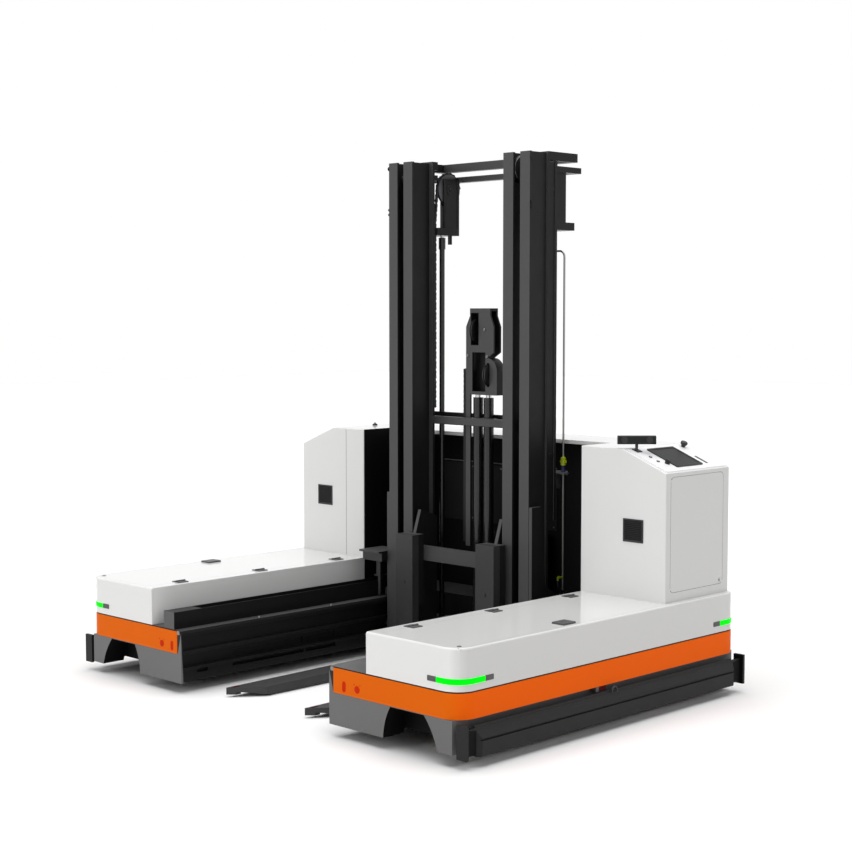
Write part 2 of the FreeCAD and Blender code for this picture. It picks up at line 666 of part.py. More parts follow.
def vent_grille():
    """Louvred vent in a cabinet front."""
    y0 = CABINET_Y0 - 3
    frame = cut(box(VENT_X0, VENT_X1, y0, CABINET_Y0, VENT_Z0, VENT_Z1),
                box(VENT_X0 + 8, VENT_X1 - 8, y0 - 1, CABINET_Y0 + 1, VENT_Z0 + 8, VENT_Z1 - 8))
    collar = cut(box(VENT_X0 + 5.5, VENT_X1 - 5.5, y0, y0 + VENT_T, VENT_Z0 + 5.5, VENT_Z1 - 5.5),
                 box(VENT_X0 + 8, VENT_X1 - 8, y0 - 1, y0 + VENT_T + 1, VENT_Z0 + 8, VENT_Z1 - 8))
    pitch = (VENT_Z1 - VENT_Z0 - 16) / VENT_SLATS
    slats = []
    for index in range(VENT_SLATS):
        z = VENT_Z0 + 8 + index * pitch
        outline = [(y0, z), (y0, z + 2), (y0 + VENT_T, z + pitch), (y0 + VENT_T, z + pitch - 2)]
        slats.append(section_x(outline, VENT_X0 + 7, VENT_X1 - 7))
    return join(frame, collar, *slats)


# --- console ----------------------------------------------------------------------------------
SLOPE_ANGLE = math.atan2(CABINET_Z1 - SLOPE_Z, CABINET_OUTER_X - SLOPE_X)


def on_slope(shape):
    """Place a shape made flat (u along +X from the slope edge, v along Y, height Z) on the slope."""
    placed = shape.copy()
    placed.rotate(Vector(0, 0, 0), Vector(0, 1, 0), math.degrees(SLOPE_ANGLE))
    placed.translate(Vector(SLOPE_X, 0, CABINET_Z1))
    return placed


def slope_box(u0, u1, v0, v1, h0, h1):
    """Box on the slope."""
    return on_slope(box(u0, u1, v0, v1, h0, h1))


def slope_rod(radius, u, v, h0, h1):
    """Round bar standing square to the slope."""
    return on_slope(rod(radius, (u, v, h0), (0, 0, 1), h1 - h0))


def console_panel():
    """Console plate with holes for the screen and controls."""
    plate = box(CONSOLE_U0, CONSOLE_U1, CONSOLE_V0, CONSOLE_V1, 0, CONSOLE_T)
    plate = round_edges(plate, 12, is_vertical)
    plate = cut(plate, box(SCREEN_U - SCREEN_DU / 2 + 8, SCREEN_U + SCREEN_DU / 2 - 8,
                           SCREEN_V - SCREEN_DV / 2 + 8, SCREEN_V + SCREEN_DV / 2 - 8, -1, 9))
    plate = on_slope(plate)
    holes = [slope_rod(radius + RUN, u, v, -5, 20) for radius, u, v in (
        (9, STOP_U, STOP_V), (8, KNOB_U, KNOB_V), (BUTTON_R, START_U, BUTTON_V), (BUTTON_R, RESET_U, BUTTON_V))]
    return cut(plate, *holes)


def touch_screen():
    """Touch screen bezel with its body behind the plate."""
    face = box(SCREEN_U - SCREEN_DU / 2, SCREEN_U + SCREEN_DU / 2,
               SCREEN_V - SCREEN_DV / 2, SCREEN_V + SCREEN_DV / 2, CONSOLE_T, CONSOLE_T + 5)
    face = round_edges(face, 8, is_vertical)
    body = box(SCREEN_U - SCREEN_DU / 2 + 10, SCREEN_U + SCREEN_DU / 2 - 10,
               SCREEN_V - SCREEN_DV / 2 + 10, SCREEN_V + SCREEN_DV / 2 - 10, -30, CONSOLE_T + 1)
    glass = box(SCREEN_U - SCREEN_DU / 2 + 14, SCREEN_U + SCREEN_DU / 2 - 14,
                SCREEN_V - SCREEN_DV / 2 + 14, SCREEN_V + SCREEN_DV / 2 - 14, CONSOLE_T + 3.5, CONSOLE_T + 9)
    return on_slope(cut(join(face, body), glass))


def emergency_stop():
    """Mushroom-head stop button."""
    top = CONSOLE_T + STOP_TRAVEL + 3
    head = Part.makeCone(STOP_R - 4, STOP_R, 8, Vector(STOP_U, STOP_V, top))
    cap = rod(STOP_R, (STOP_U, STOP_V, top + 8), (0, 0, 1), 10)
    cap = chamfer_edges(cap, 4, lambda e: e.CenterOfMass.z > top + 17)
    stem = rod(9, (STOP_U, STOP_V, -14), (0, 0, 1), top + 16)
    return on_slope(join(head, cap, stem))


def selector_knob():
    """Two-position selector knob with a grip bar."""
    base = rod(KNOB_R, (KNOB_U, KNOB_V, CONSOLE_T + PART_GAP), (0, 0, 1), 9)
    grip = box(KNOB_U - KNOB_R + 1, KNOB_U + KNOB_R - 1, KNOB_V - 4, KNOB_V + 4, CONSOLE_T + 5, CONSOLE_T + 20)
    stem = rod(8, (KNOB_U, KNOB_V, -12), (0, 0, 1), 18)
    return on_slope(join(base, grip, stem))


def push_button(u):
    """Round push button."""
    body = rod(BUTTON_R, (u, BUTTON_V, -12), (0, 0, 1), 12 + CONSOLE_T + BUTTON_TRAVEL + 2)
    return on_slope(chamfer_edges(body, 1, lambda e: e.CenterOfMass.z > CONSOLE_T + 4))


def scanner_stalk():
    """Upright stalk on a foot plate on the sloping console."""
    u = (SCANNER_X - SLOPE_X) / math.cos(SLOPE_ANGLE)
    u0, u1, v0, v1 = u - SCANNER_FOOT, u + SCANNER_FOOT, SCANNER_Y - SCANNER_FOOT, SCANNER_Y + SCANNER_FOOT
    foot = slope_box(u0, u1, v0, v1, CONSOLE_T, CONSOLE_T + 4)
    base = (SCANNER_X, SCANNER_Y, CABINET_Z1 - 30)
    post = rod(STALK_R, base, (0, 0, 1), SCANNER_Z0 - base[2] - PART_GAP)
    pin = rod(4, base, (0, 0, 1), SCANNER_Z0 - base[2] + 12)
    return join(foot, cut(join(post, pin), slope_box(u0, u1, v0, v1, -60, CONSOLE_T)))


def scanner_bar():
    """Long scanner head that pans on its stalk."""
    x = SCANNER_X
    body = box(x - SCANNER_W / 2, x + SCANNER_W / 2, SCANNER_Y - SCANNER_L / 2, SCANNER_Y + SCANNER_L / 2,
               SCANNER_Z0, SCANNER_Z0 + SCANNER_H)
    body = round_edges(body, 8, lambda e: abs(e.CenterOfMass.y - SCANNER_Y) < 1)
    body.rotate(Vector(x, SCANNER_Y, 0), Vector(0, 0, 1), SCANNER_TURN)
    return cut(body, rod(4 + RUN, (x, SCANNER_Y, SCANNER_Z0 - 1), (0, 0, 1), 14))


# --- rear housing and what it holds -----------------------------------------------------------
def rear_housing():
    """Top and rear panels between the cabinets, with a folded lip over the open bay."""
    x1 = COVER_INNER_X - PART_GAP
    top = box(-x1, x1, HOUSING_Y0, HOUSING_Y1, CABINET_Z1 - HOUSING_T, CABINET_Z1)
    lip = box(-x1, x1, HOUSING_Y0, HOUSING_Y0 + HOUSING_T, CABINET_Z1 - HOUSING_LIP, CABINET_Z1)
    back = box(-x1, x1, HOUSING_Y1 - HOUSING_T, HOUSING_Y1, DECK_Z1, CABINET_Z1)
    ribs = [box(x - 2, x + 2, HOUSING_Y0 + 100, HOUSING_Y1, CABINET_Z1 - 30, CABINET_Z1) for x in (-380, 0, 380)]
    return join(top, lip, back, *ribs)


def bay_liners():
    """Dark liner sheets on the bay sides of the cabinets and covers."""
    x1 = COVER_INNER_X - PART_GAP
    upper = box(x1 - 5, x1, CABINET_Y0 + 2, HOUSING_Y0 - 1, DECK_Z1, CABINET_Z1 - 2)
    rear = box(x1 - 5, x1, HOUSING_Y0 - 1, HOUSING_Y1 - HOUSING_T - 1, DECK_Z1, CABINET_Z1 - HOUSING_LIP - 1)
    return both(join(upper, rear))


def pump_unit():
    """Hydraulic tank, motor and pump on the rear floor."""
    tank = box(-190, 150, TANK_Y0, TANK_Y1, DECK_Z1, 640)
    tank = round_edges(tank, 18, is_vertical)
    neck = rod(26, (-120, (TANK_Y0 + TANK_Y1) / 2, 640), (0, 0, 1), 24)
    motor = rod(62, (-140, MOTOR_Y, DECK_Z1 + 70), (1, 0, 0), 240)
    end = rod(40, (100, MOTOR_Y, DECK_Z1 + 70), (1, 0, 0), 60)
    saddle = box(-100, 60, MOTOR_Y - 35, TANK_Y0 + 10, DECK_Z1, DECK_Z1 + 40)
    return join(tank, neck, motor, end, saddle)


def controller_box():
    """Control unit with cooling fins, on the inner wall of the right cabinet."""
    x0 = COVER_INNER_X + CABINET_T
    case = box(x0, x0 + 120, 500, 820, 560, 940)
    fins = [box(x0 + 120, x0 + 140, y - 3, y + 3, 580, 920) for y in range(520, 820, 30)]
    return join(case, *fins)


def battery_pack():
    """Battery trays in both legs."""
    tray = box(840, 1200, -380, 340, DECK_Z1, 440)
    tray = round_edges(tray, 10, is_vertical)
    lugs = [box(900, 940, y, y + 30, 440, 450) for y in (-330, 260)]
    return both(join(tray, *lugs))


def chain_trough():
    """Cable-chain trough along the left leg, open above except at its front end."""
    x0, x1, z1 = 575.0, 656.0, 384.0
    body = cut(box(x0, x1, -HALF_LENGTH + 4, 420, DECK_Z1, z1),
               box(x0 + 4, x1 - 4, -HALF_LENGTH + 8, 421, DECK_Z1 + 4, z1 + 1))
    cap = box(x0, x1, -HALF_LENGTH + 4, -HALF_LENGTH + 170, z1 - 4, z1)
    return mirrored(join(body, cap))


# --- corner lights ----------------------------------------------------------------------------
def light_ring():
    """Strip round the outer corners, standing just off the cover."""
    outer = leg_plan(2 - LIGHT_T, COVER_INNER_X, LIGHT_Z0, LIGHT_Z1)
    inner = leg_plan(2 - PART_GAP, COVER_INNER_X - 1, LIGHT_Z0 - 5, LIGHT_Z1 + 5)
    return outer.cut(inner)


def corner_lights():
    """Green lens and dark end caps of every corner."""
    ring = light_ring()
    lens_box = box(LIGHT_X0, 2000, -2000, LIGHT_Y0, 0, 500)
    cap_box = box(LIGHT_X0 - LIGHT_END, 2000, -2000, LIGHT_Y0 + LIGHT_END, 0, 500)
    lens = ring.common(lens_box)
    caps = ring.common(cap_box).cut(lens_box)
    to_rear = Vector(0, 1, 0)
    lenses = both([lens, lens.mirror(Vector(0, 0, 0), to_rear)])
    ends = both([caps, caps.mirror(Vector(0, 0, 0), to_rear)])
    return {"corner_light_lenses": lenses, "corner_light_ends": ends}


# --- wheels -----------------------------------------------------------------------------------
def steer_unit(x, y, driven):
    """Steering turntable with its wheel fork, axle and spigot; a drive motor on top if driven."""
    plate_z = DECK_Z0 - PART_GAP - STEER_PLATE_T
    plate = rod(STEER_PLATE_R, (x, y, plate_z), (0, 0, 1), STEER_PLATE_T)
    arms = []
    for side in (-1, 1):
        xa = x + side * (WHEEL_W / 2 + 3 + FORK_ARM_T / 2)
        outline = [(y - 60, plate_z + 1), (y - 28, WHEEL_R - 24), (y + 28, WHEEL_R - 24), (y + 60, plate_z + 1)]
        arms.append(section_x(outline, xa - FORK_ARM_T / 2, xa + FORK_ARM_T / 2))
    axle_half = WHEEL_W / 2 + 3 + FORK_ARM_T
    axle = rod(AXLE_R, (x - axle_half, y, WHEEL_R), (1, 0, 0), 2 * axle_half)
    spigot = rod(SPIGOT_R, (x, y, plate_z), (0, 0, 1), DECK_Z1 + 1 - plate_z)
    top_r, top_h = (MOTOR_R, MOTOR_H) if driven else (MOTOR_R, 16)
    top = rod(top_r, (x, y, DECK_Z1 + PART_GAP), (0, 0, 1), top_h)
    return join(plate, *arms, axle, spigot, top)


def wheel(x, y):
    """Solid-tyred wheel with a dished hub, bored for its axle."""
    half = WHEEL_W / 2
    outline = [
        (AXLE_R + RUN, -half), (34, -half), (34, -half + 10), (WHEEL_R - 26, -half + 10), (WHEEL_R - 22, -half),
        (WHEEL_R - 6, -half), (WHEEL_R, -half + 6), (WHEEL_R, half - 6), (WHEEL_R - 6, half),
        (WHEEL_R - 22, half), (WHEEL_R - 26, half - 10), (34, half - 10), (34, half), (AXLE_R + RUN, half),
    ]
    points = [Vector(u, r, 0) for r, u in outline]
    face = Part.Face(Part.makePolygon(points + points[:1]))
    body = face.revolve(Vector(0, 0, 0), Vector(1, 0, 0), 360)
    return body.translated(Vector(x, y, WHEEL_R))


# --- bumpers ----------------------------------------------------------------------------------
def bumper():
    """Sprung side bumper: grooved rail on a set-back core, end plates and guide pins."""
    x0, x1, z0, z1, groove = BUMPER_X0, BUMPER_X1, BUMPER_Z0, BUMPER_Z1, BUMPER_GROOVE_Z
    outline = [
        (x0, z0), (x1 - 5, z0), (x1, z0 + 5), (x1, groove), (x1 - 9, groove + 2), (x1 - 9, groove + 7),
        (x1, groove + 10), (x0 + 6, z1), (x0, z1),
    ]
    y1 = BUMPER_HALF_L - BUMPER_RECESS
    mitre = BUMPER_MITRE
    plan = [(x0 - 1, -y1, 0), (x1 - mitre, -y1, 0), (x1 + 1, -y1 + mitre + 1, 0), (x1 + 1, y1 - mitre - 1, 0),
            (x1 - mitre, y1, 0), (x0 - 1, y1, 0)]
    rail = section_y(outline, -y1, y1).common(extrude(plan, (0, 0, z1 + 1)))
    core = box(x0, x0 + 16, -BUMPER_HALF_L + 1, BUMPER_HALF_L - 1, z0 + 8, z1 - 8)
    ends = [box(BUMPER_END_X0, x1 - 2, y, y + BUMPER_END_T, BUMPER_END_Z0, BUMPER_END_Z1)
            for y in (-BUMPER_HALF_L, BUMPER_HALF_L - BUMPER_END_T)]
    pin_x0 = SKIRT_OUTER_X - 38
    pins = [rod(BUMPER_PIN_R, (pin_x0, y, BUMPER_PIN_Z), (1, 0, 0), x0 + 1 - pin_x0) for y in BUMPER_PIN_Y]
    return join(rail, core, *ends, *pins)


# --- mast -------------------------------------------------------------------------------------
def upright(x0, x1, web_x0, web_t, depth, z0):
    """I-section mast upright."""
    y0, y1 = MAST_Y, MAST_Y + depth
    front = box(x0, x1, y0, y0 + FLANGE_T, z0, MAST_TOP)
    back = box(x0, x1, y1 - FLANGE_T, y1, z0, MAST_TOP)
    web = box(web_x0, web_x0 + web_t, y0 + 1, y1 - 1, z0, MAST_TOP)
    return join(front, back, web)


def stub(x0, x1, y, z, radius=ROLLER_PIN_R):
    """Fixed pin along X for a roller."""
    return rod(radius, (x0, y, z), (1, 0, 0), x1 - x0)


def roller(x0, width, y, z, radius, pin_r=ROLLER_PIN_R):
    """Bevelled roller along X, bored for its pin."""
    bore = pin_r + RUN
    edge = 2.0
    outline = [(bore, 0), (radius - edge, 0), (radius, edge), (radius, width - edge), (radius - edge, width),
               (bore, width)]
    points = [Vector(u, r, 0) for r, u in outline]
    body = Part.Face(Part.makePolygon(points + points[:1])).revolve(Vector(0, 0, 0), Vector(1, 0, 0), 360)
    return body.translated(Vector(x0, y, z))


def outer_mast():
    """Fixed stage: two uprights with strapped rear posts, the mid cross-beam and the head roller pins."""
    side = upright(OUTER_X0, OUTER_X1, OUTER_WEB_X0, OUTER_WEB_T, OUTER_DEPTH, MAST_FOOT)
    top_pin = stub(HEAD_ROLLER_X, OUTER_WEB_X0 + 2, MAST_Y + INNER_DEPTH / 2, MAST_TOP - HEAD_ROLLER_DROP)
    rear = MAST_Y + OUTER_DEPTH
    post = box(POST_X0, OUTER_X1, POST_Y0, POST_Y1, POST_Z0, POST_Z1)
    straps = [box(POST_X0, OUTER_X1 - 3, rear - 1, POST_Y0 + 1, z, z + STRAP_H) for z in STRAP_Z]
    arm = box(MID_ARM_X0, MID_ARM_X1, rear - FLANGE_T, MID_BEAM_Y1, MID_BEAM_Z0, MID_BEAM_Z1)
    beam = box(-OUTER_X0, OUTER_X0, MID_BEAM_Y0, MID_BEAM_Y1, MID_BEAM_Z0, MID_BEAM_Z1)
    seats = [rod(LIFT_R, (s * LIFT_X, LIFT_Y, MID_BEAM_Z0 - 1), (0, 0, 1), 200) for s in (-1, 1)]
    reach = LIFT_R + CLAMP_WALL
    clamp = box(LIFT_X - reach, LIFT_X + reach, LIFT_Y - reach, LIFT_Y + reach, MID_BEAM_Z0 + 10, MID_BEAM_Z1 - 10)
    right = [side, top_pin, arm, clamp, post, *straps]
    return cut(join(beam, *right, *[mirrored(item) for item in right]), *seats)


def lift_yoke():
    """Pieces of one lifted block: ribbed yoke plates with bosses, side plate, bolt and rod stud."""
    x0, x1 = LIFT_X - YOKE_HALF, LIFT_X + YOKE_HALF
    parts = [box(BLOCK_X0, BLOCK_X1, BLOCK_Y0, BLOCK_Y1, BLOCK_Z0, BLOCK_Z1)]
    for plate_x, rib_x in ((x0, x0 - YOKE_RIB), (x1 - YOKE_T, x1)):
        parts.append(box(plate_x, plate_x + YOKE_T, YOKE_Y0, YOKE_Y1, BLOCK_Z1 - 1, YOKE_Z1))
        parts.append(rod(YOKE_BOSS_R, (rib_x, SHEAVE_Y, SHEAVE_Z), (1, 0, 0), YOKE_RIB))
        for y in (YOKE_Y0, YOKE_Y1 - YOKE_RIB_W):
            parts.append(box(rib_x, rib_x + YOKE_RIB, y, y + YOKE_RIB_W, BLOCK_Z1 - 1, YOKE_Z1))
    parts.append(box(BLOCK_X1 - 12, BLOCK_X1, BLOCK_PLATE_Y0, BLOCK_PLATE_Y1, BLOCK_Z1 - 1, TIE2_Z0 + 1))
    parts.append(rod(11, (LIFT_X, BLOCK_BOLT_Y, BLOCK_Z0 - 46), (0, 0, 1), 48))
    parts.append(rod(ROD_R, (LIFT_X, LIFT_Y, BLOCK_Z1 - 1), (0, 0, 1), STUD_H))
    return parts


def inner_mast():
    """Lifting stage: uprights, rear ties, crossheads with sheave yokes, foot rollers and jack base."""
    side = upright(INNER_X0, INNER_X1, INNER_WEB_X0, INNER_WEB_T, INNER_DEPTH, MAST_FOOT + 4)
    rear = MAST_Y + INNER_DEPTH
    foot = stub(INNER_WEB_X0 + 2, FOOT_ROLLER_X + ROLLER_W, MAST_Y + OUTER_DEPTH / 2, FOOT_ROLLER_Z)
    parts = [side, foot]
    for z0, z1, arm_x0, arm_x1, y1 in (
            (TIE1_Z0, TIE1_Z1, TIE1_ARM_X0, TIE1_ARM_X1, TIE1_Y1),
            (TIE2_Z0, TIE2_Z1, TIE2_ARM_X0, TIE2_ARM_X1, TIE2_Y1)):
        parts.append(box(INNER_WEB_X0 - 10, arm_x1, rear - 1, rear + TIE_BAR, z0, z1))
        parts.append(box(arm_x0, arm_x1, rear - 1, y1, z0, z1))
        parts.append(box(0, arm_x0 + 1, y1 - TIE_BAR, y1, z0, z1))
    parts += lift_yoke()
    pin = rod(SHEAVE_PIN_R, (LIFT_X - YOKE_HALF - 2 * YOKE_RIB, SHEAVE_Y, SHEAVE_Z), (1, 0, 0),
              2 * (YOKE_HALF + 2 * YOKE_RIB))
    clear = rod(SHEAVE_R + 4, (LIFT_X - SHEAVE_W / 2 - 0.6, SHEAVE_Y, SHEAVE_Z), (1, 0, 0), SHEAVE_W + 1.2)
    half = cut(join(*parts), clear)
    half = join(half, pin)
    base = box(-INNER_WEB_X0, INNER_WEB_X0, rear - FLANGE_T, JACK_Y + JACK_R + 4, 90, JACK_FOOT)
    top_bar = box(-1, 1, TIE1_Y1 - TIE_BAR, TIE1_Y1, TIE1_Z0, TIE1_Z1)
    mid = box(-INNER_X0 - 4, INNER_X0 + 4, rear - FLANGE_T, rear + 6, JACK_CLAMP_Z - 30, JACK_CLAMP_Z + 8)
    clamp = box(GUIDE_BAR_X1 + 2, 80, rear, JACK_Y + JACK_R + 4, JACK_CLAMP_Z - 30, JACK_CLAMP_Z + 8)
    seats = [rod(JACK_R, (s * JACK_X, JACK_Y, JACK_CLAMP_Z - 60), (0, 0, 1), 120) for s in (-1, 1)]
    return join(cut(join(half, mirrored(half), base, mid, clamp, top_bar), *seats))


def mast_rollers():
    """Guide rollers between the two stages: a pair at the outer head and a pair at the inner foot."""
    head = roller(HEAD_ROLLER_X, HEAD_ROLLER_W, MAST_Y + INNER_DEPTH / 2, MAST_TOP - HEAD_ROLLER_DROP,
                  INNER_DEPTH / 2 - FLANGE_T - PART_GAP)
    foot = roller(FOOT_ROLLER_X, ROLLER_W, MAST_Y + OUTER_DEPTH / 2, FOOT_ROLLER_Z,
                  OUTER_DEPTH / 2 - FLANGE_T - PART_GAP)
    return {"mast_head_rollers": both(head), "mast_foot_rollers": both(foot)}


def lift_cylinders():
    """Barrels of the two side lift cylinders, with gland nuts, bored for their rods."""
    barrel = join(rod(LIFT_R, (LIFT_X, LIFT_Y, LIFT_FOOT), (0, 0, 1), LIFT_TOP - LIFT_FOOT),
                  rod(LIFT_R + GLAND, (LIFT_X, LIFT_Y, LIFT_TOP - GLAND_H), (0, 0, 1), GLAND_H))
    bore = rod(ROD_R + RUN, (LIFT_X, LIFT_Y, LIFT_FOOT + 20), (0, 0, 1), LIFT_TOP)
    return both(barrel.cut(bore))


def lift_rods():
    """Chromed rods of the side lift cylinders."""
    start = LIFT_FOOT + 24
    return both(rod(ROD_R, (LIFT_X, LIFT_Y, start), (0, 0, 1), BLOCK_Z0 - start))


def sheave(x, y, z, radius):
    """Grooved chain sheave on an axis along X."""
    half = SHEAVE_W / 2
    bore = SHEAVE_PIN_R + RUN
    outline = [(bore, -half), (radius, -half), (radius, -half + 2.5), (radius - 7, -half + 4),
               (radius - 7, half - 4), (radius, half - 2.5), (radius, half), (bore, half)]
    points = [Vector(u, r, 0) for r, u in outline]
    body = Part.Face(Part.makePolygon(points + points[:1])).revolve(Vector(0, 0, 0), Vector(1, 0, 0), 360)
    return body.translated(Vector(x, y, z))


def jack_barrels():
    """Twin barrels of the free-lift jack, bored for their rods."""
    made = []
    for side in (-1, 1):
        x = side * JACK_X
        barrel = rod(JACK_R, (x, JACK_Y, JACK_FOOT), (0, 0, 1), JACK_TOP - JACK_FOOT)
        made.append(barrel.cut(rod(JACK_ROD_R + RUN, (x, JACK_Y, JACK_FOOT + 20), (0, 0, 1), JACK_TOP)))
    return made


def jack_rods():
    """Chromed rods of the free-lift jack."""
    start = JACK_FOOT + 24
    return [rod(JACK_ROD_R, (s * JACK_X, JACK_Y, start), (0, 0, 1), HEAD_Z0 - start) for s in (-1, 1)]


def jack_head():
    """Crosshead of the jack: front and back plates, sheave pins, guide bar and its chain."""
    outline = [
        (HEAD_X0, HEAD_Z0), (HEAD_X0, HEAD_SHOULDER_Z), (-HEAD_HALF_TOP, HEAD_NECK_Z),
        (-HEAD_HALF_TOP, HEAD_Z1), (HEAD_HALF_TOP, HEAD_Z1), (HEAD_HALF_TOP, HEAD_NECK_Z),
        (HEAD_X1, HEAD_SHOULDER_Z), (HEAD_X1, HEAD_WINDOW[3]), (HEAD_WINDOW[1] + 12, CHEEK_BLOCK_Z1),
        (HEAD_WINDOW[1] + 12, HEAD_Z0),
    ]
    back_y = HEAD_Y0 + HEAD_DEPTH
    front = section_y(outline, HEAD_Y0, HEAD_Y0 + HEAD_T)
    for x0, x1, z0, z1 in (HEAD_WINDOW, HEAD_SLOT):
        front = front.cut(box(x0, x1, HEAD_Y0 - 1, HEAD_Y0 + HEAD_T + 1, z0, z1))
    back = section_y(outline, back_y - HEAD_T, back_y)
    crosshead = box(HEAD_X0, CHEEK_BLOCK_X1, HEAD_Y0, back_y, HEAD_Z0, HEAD_Z0 + HEAD_BASE_T)
    cap = box(-HEAD_HALF_TOP, HEAD_HALF_TOP, HEAD_Y0, back_y, HEAD_Z1 - HEAD_BASE_T, HEAD_Z1)
    webs = [box(x, x + HEAD_WEB_T, HEAD_Y0, back_y, HEAD_WINDOW[3], HEAD_Z1)
            for x in (HEAD_SLOT[0] - HEAD_WEB_T, HEAD_SLOT[1])]
    cheek = box(HEAD_WINDOW[1], CHEEK_BLOCK_X1, HEAD_Y0, back_y, HEAD_Z0, CHEEK_BLOCK_Z1)
    cheek = round_edges(cheek, CHEEK_BLOCK_R, lambda e: e.CenterOfMass.x > CHEEK_BLOCK_X1 - 1
                        and e.CenterOfMass.z > CHEEK_BLOCK_Z1 - 1)
    bar = box(HEAD_X0, GUIDE_BAR_X1, HEAD_Y0, HEAD_Y0 + HEAD_T, GUIDE_BAR_Z0, HEAD_SHOULDER_Z)
    upper_half = (HEAD_SLOT[1] - HEAD_SLOT[0]) / 2 + HEAD_WEB_T
    pins = [rod(SHEAVE_PIN_R, (x - half, JACK_Y, z), (1, 0, 0), 2 * half) for x, z, half in (
        (UPPER_SHEAVE_X, UPPER_SHEAVE_Z, upper_half), (LOWER_SHEAVE_X, LOWER_SHEAVE_Z, SHEAVE_W))]
    slot_w = SHEAVE_W + 3
    slots = [rod(UPPER_SHEAVE_R + 4, (x - slot_w / 2, JACK_Y, z), (1, 0, 0), slot_w)
             for x, z in ((UPPER_SHEAVE_X, UPPER_SHEAVE_Z), (LOWER_SHEAVE_X, LOWER_SHEAVE_Z))]
    body = cut(join(back, crosshead, cap, front, *webs, cheek, bar), *slots)
    return [join(body, *pins), lift_chain()]


def lift_chain():
    """Leaf chain down the guide bar: a strip with a waist at every pitch."""
    x1 = HEAD_X0
    x0 = x1 - CHAIN_W
    y0, y1 = HEAD_Y0, HEAD_Y0 + CHAIN_DEPTH
    left, right = [], []
    z = GUIDE_BAR_Z0 + 20
    while z + CHAIN_PITCH < CHAIN_Z1:
        left += [(x0, z), (x0, z + CHAIN_PITCH * 0.7), (x0 + 2, z + CHAIN_PITCH * 0.85)]
        z += CHAIN_PITCH
    right = [(x1, z), (x1, GUIDE_BAR_Z0 + 20)]
    return section_y(left + right, y0, y1)


# --- reach frame ------------------------------------------------------------------------------
def reach_frame():
    """Reach frame: side cheeks with rail rollers, base beam and feet under the uprights."""
    x0, x1 = OUTER_X1, OUTER_X1 + CHEEK_T
    outline = [(CHEEK_Y0, CHEEK_Z0), (CHEEK_Y0, CHEEK_Z1), (CHEEK_TOP_Y1, CHEEK_Z1),
               (CHEEK_WAIST_Y1, CHEEK_WAIST_Z), (CHEEK_Y1, CHEEK_FLARE_Z), (CHEEK_Y1, 200), (BASE_Y1, 200),
               (BASE_Y1, CHEEK_Z0)]
    cheek = section_x(outline, x0, x1)
    foot = box(OUTER_X0 - 4, x0 + 1, MAST_Y + 2, BASE_Y0 + 1, CHEEK_Z0 - 6, MAST_FOOT)
    beam = box(-1, x0 + 1, BASE_Y0, BASE_Y1, BASE_Z0, LIFT_FOOT)
    z = (RAIL_Z_UPPER + RAIL_Z_FLANGE) / 2
    pins = [stub(x1 - 2, RAIL_WEB_X - 2, y, z, REACH_PIN_R) for y in REACH_ROLLER_Y]
    half = join(cheek, foot, beam, *pins)
    arm = chain_arm()
    return join(half, mirrored(half), arm)


def reach_rollers(y):
    """Pair of rollers that run in the reach rails."""
    x0 = RAIL_TIP_X + 2
    z = (RAIL_Z_UPPER + RAIL_Z_FLANGE) / 2
    radius = (RAIL_Z_UPPER - RAIL_Z_FLANGE) / 2 - PART_GAP
    return both(roller(x0, RAIL_WEB_X - 2 - x0, y, z, radius, REACH_PIN_R))


def chain_arm():
    """Arm over the left leg that tows the cable chain in its trough."""
    x0 = OUTER_X1 + CHEEK_T - 2
    plate = box(x0, 650, 300, 470, 538, 548)
    web = box(x0, 643, 320, 440, 494, 539)
    post = box(552, 570, 360, 372, DECK_Z1 + 6, 495)
    drop = box(608, 624, 400, 460, 396, 540)
    tab = box(590, 640, 400, 460, 396, 404)
    return mirrored(join(plate, web, post, drop, tab))


def hydraulic_line():
    """Rigid supply pipe behind the right upright, with its union and support bracket."""
    x, y, radius, bend = 485.0, 612.0, 5.0, 30.0
    low, high = 420.0, LIFT_TOP - 90.0
    inward = LIFT_X + LIFT_R + PART_GAP
    run = Part.LineSegment(Vector(x, y, low), Vector(x, y, high - bend)).toShape()
    middle = Vector(x - bend * (1 - math.cos(math.pi / 4)), y, high - bend + bend * math.sin(math.pi / 4))
    turn = Part.Arc(Vector(x, y, high - bend), middle, Vector(x - bend, y, high)).toShape()
    top = Part.LineSegment(Vector(x - bend, y, high), Vector(inward, y, high)).toShape()
    path = Part.Wire([run, turn, top])
    circle = Part.Wire(Part.makeCircle(radius, Vector(x, y, low), Vector(0, 0, 1)))
    pipe = path.makePipeShell([circle], True, False)
    bracket = join(box(452, 512, 584, 624, 1004, 1010), box(452, 458, 505, 624, 930, 1010))
    union = rod(13, (x, y, 1046), (0, 0, 1), 34)
    nut = rod(9, (x, y, 1010), (0, 0, 1), 50)
    foot = box(x - 12, x + 12, BASE_Y1 - 45, BASE_Y1, 200, low)
    return join(pipe, bracket, union, nut, foot)


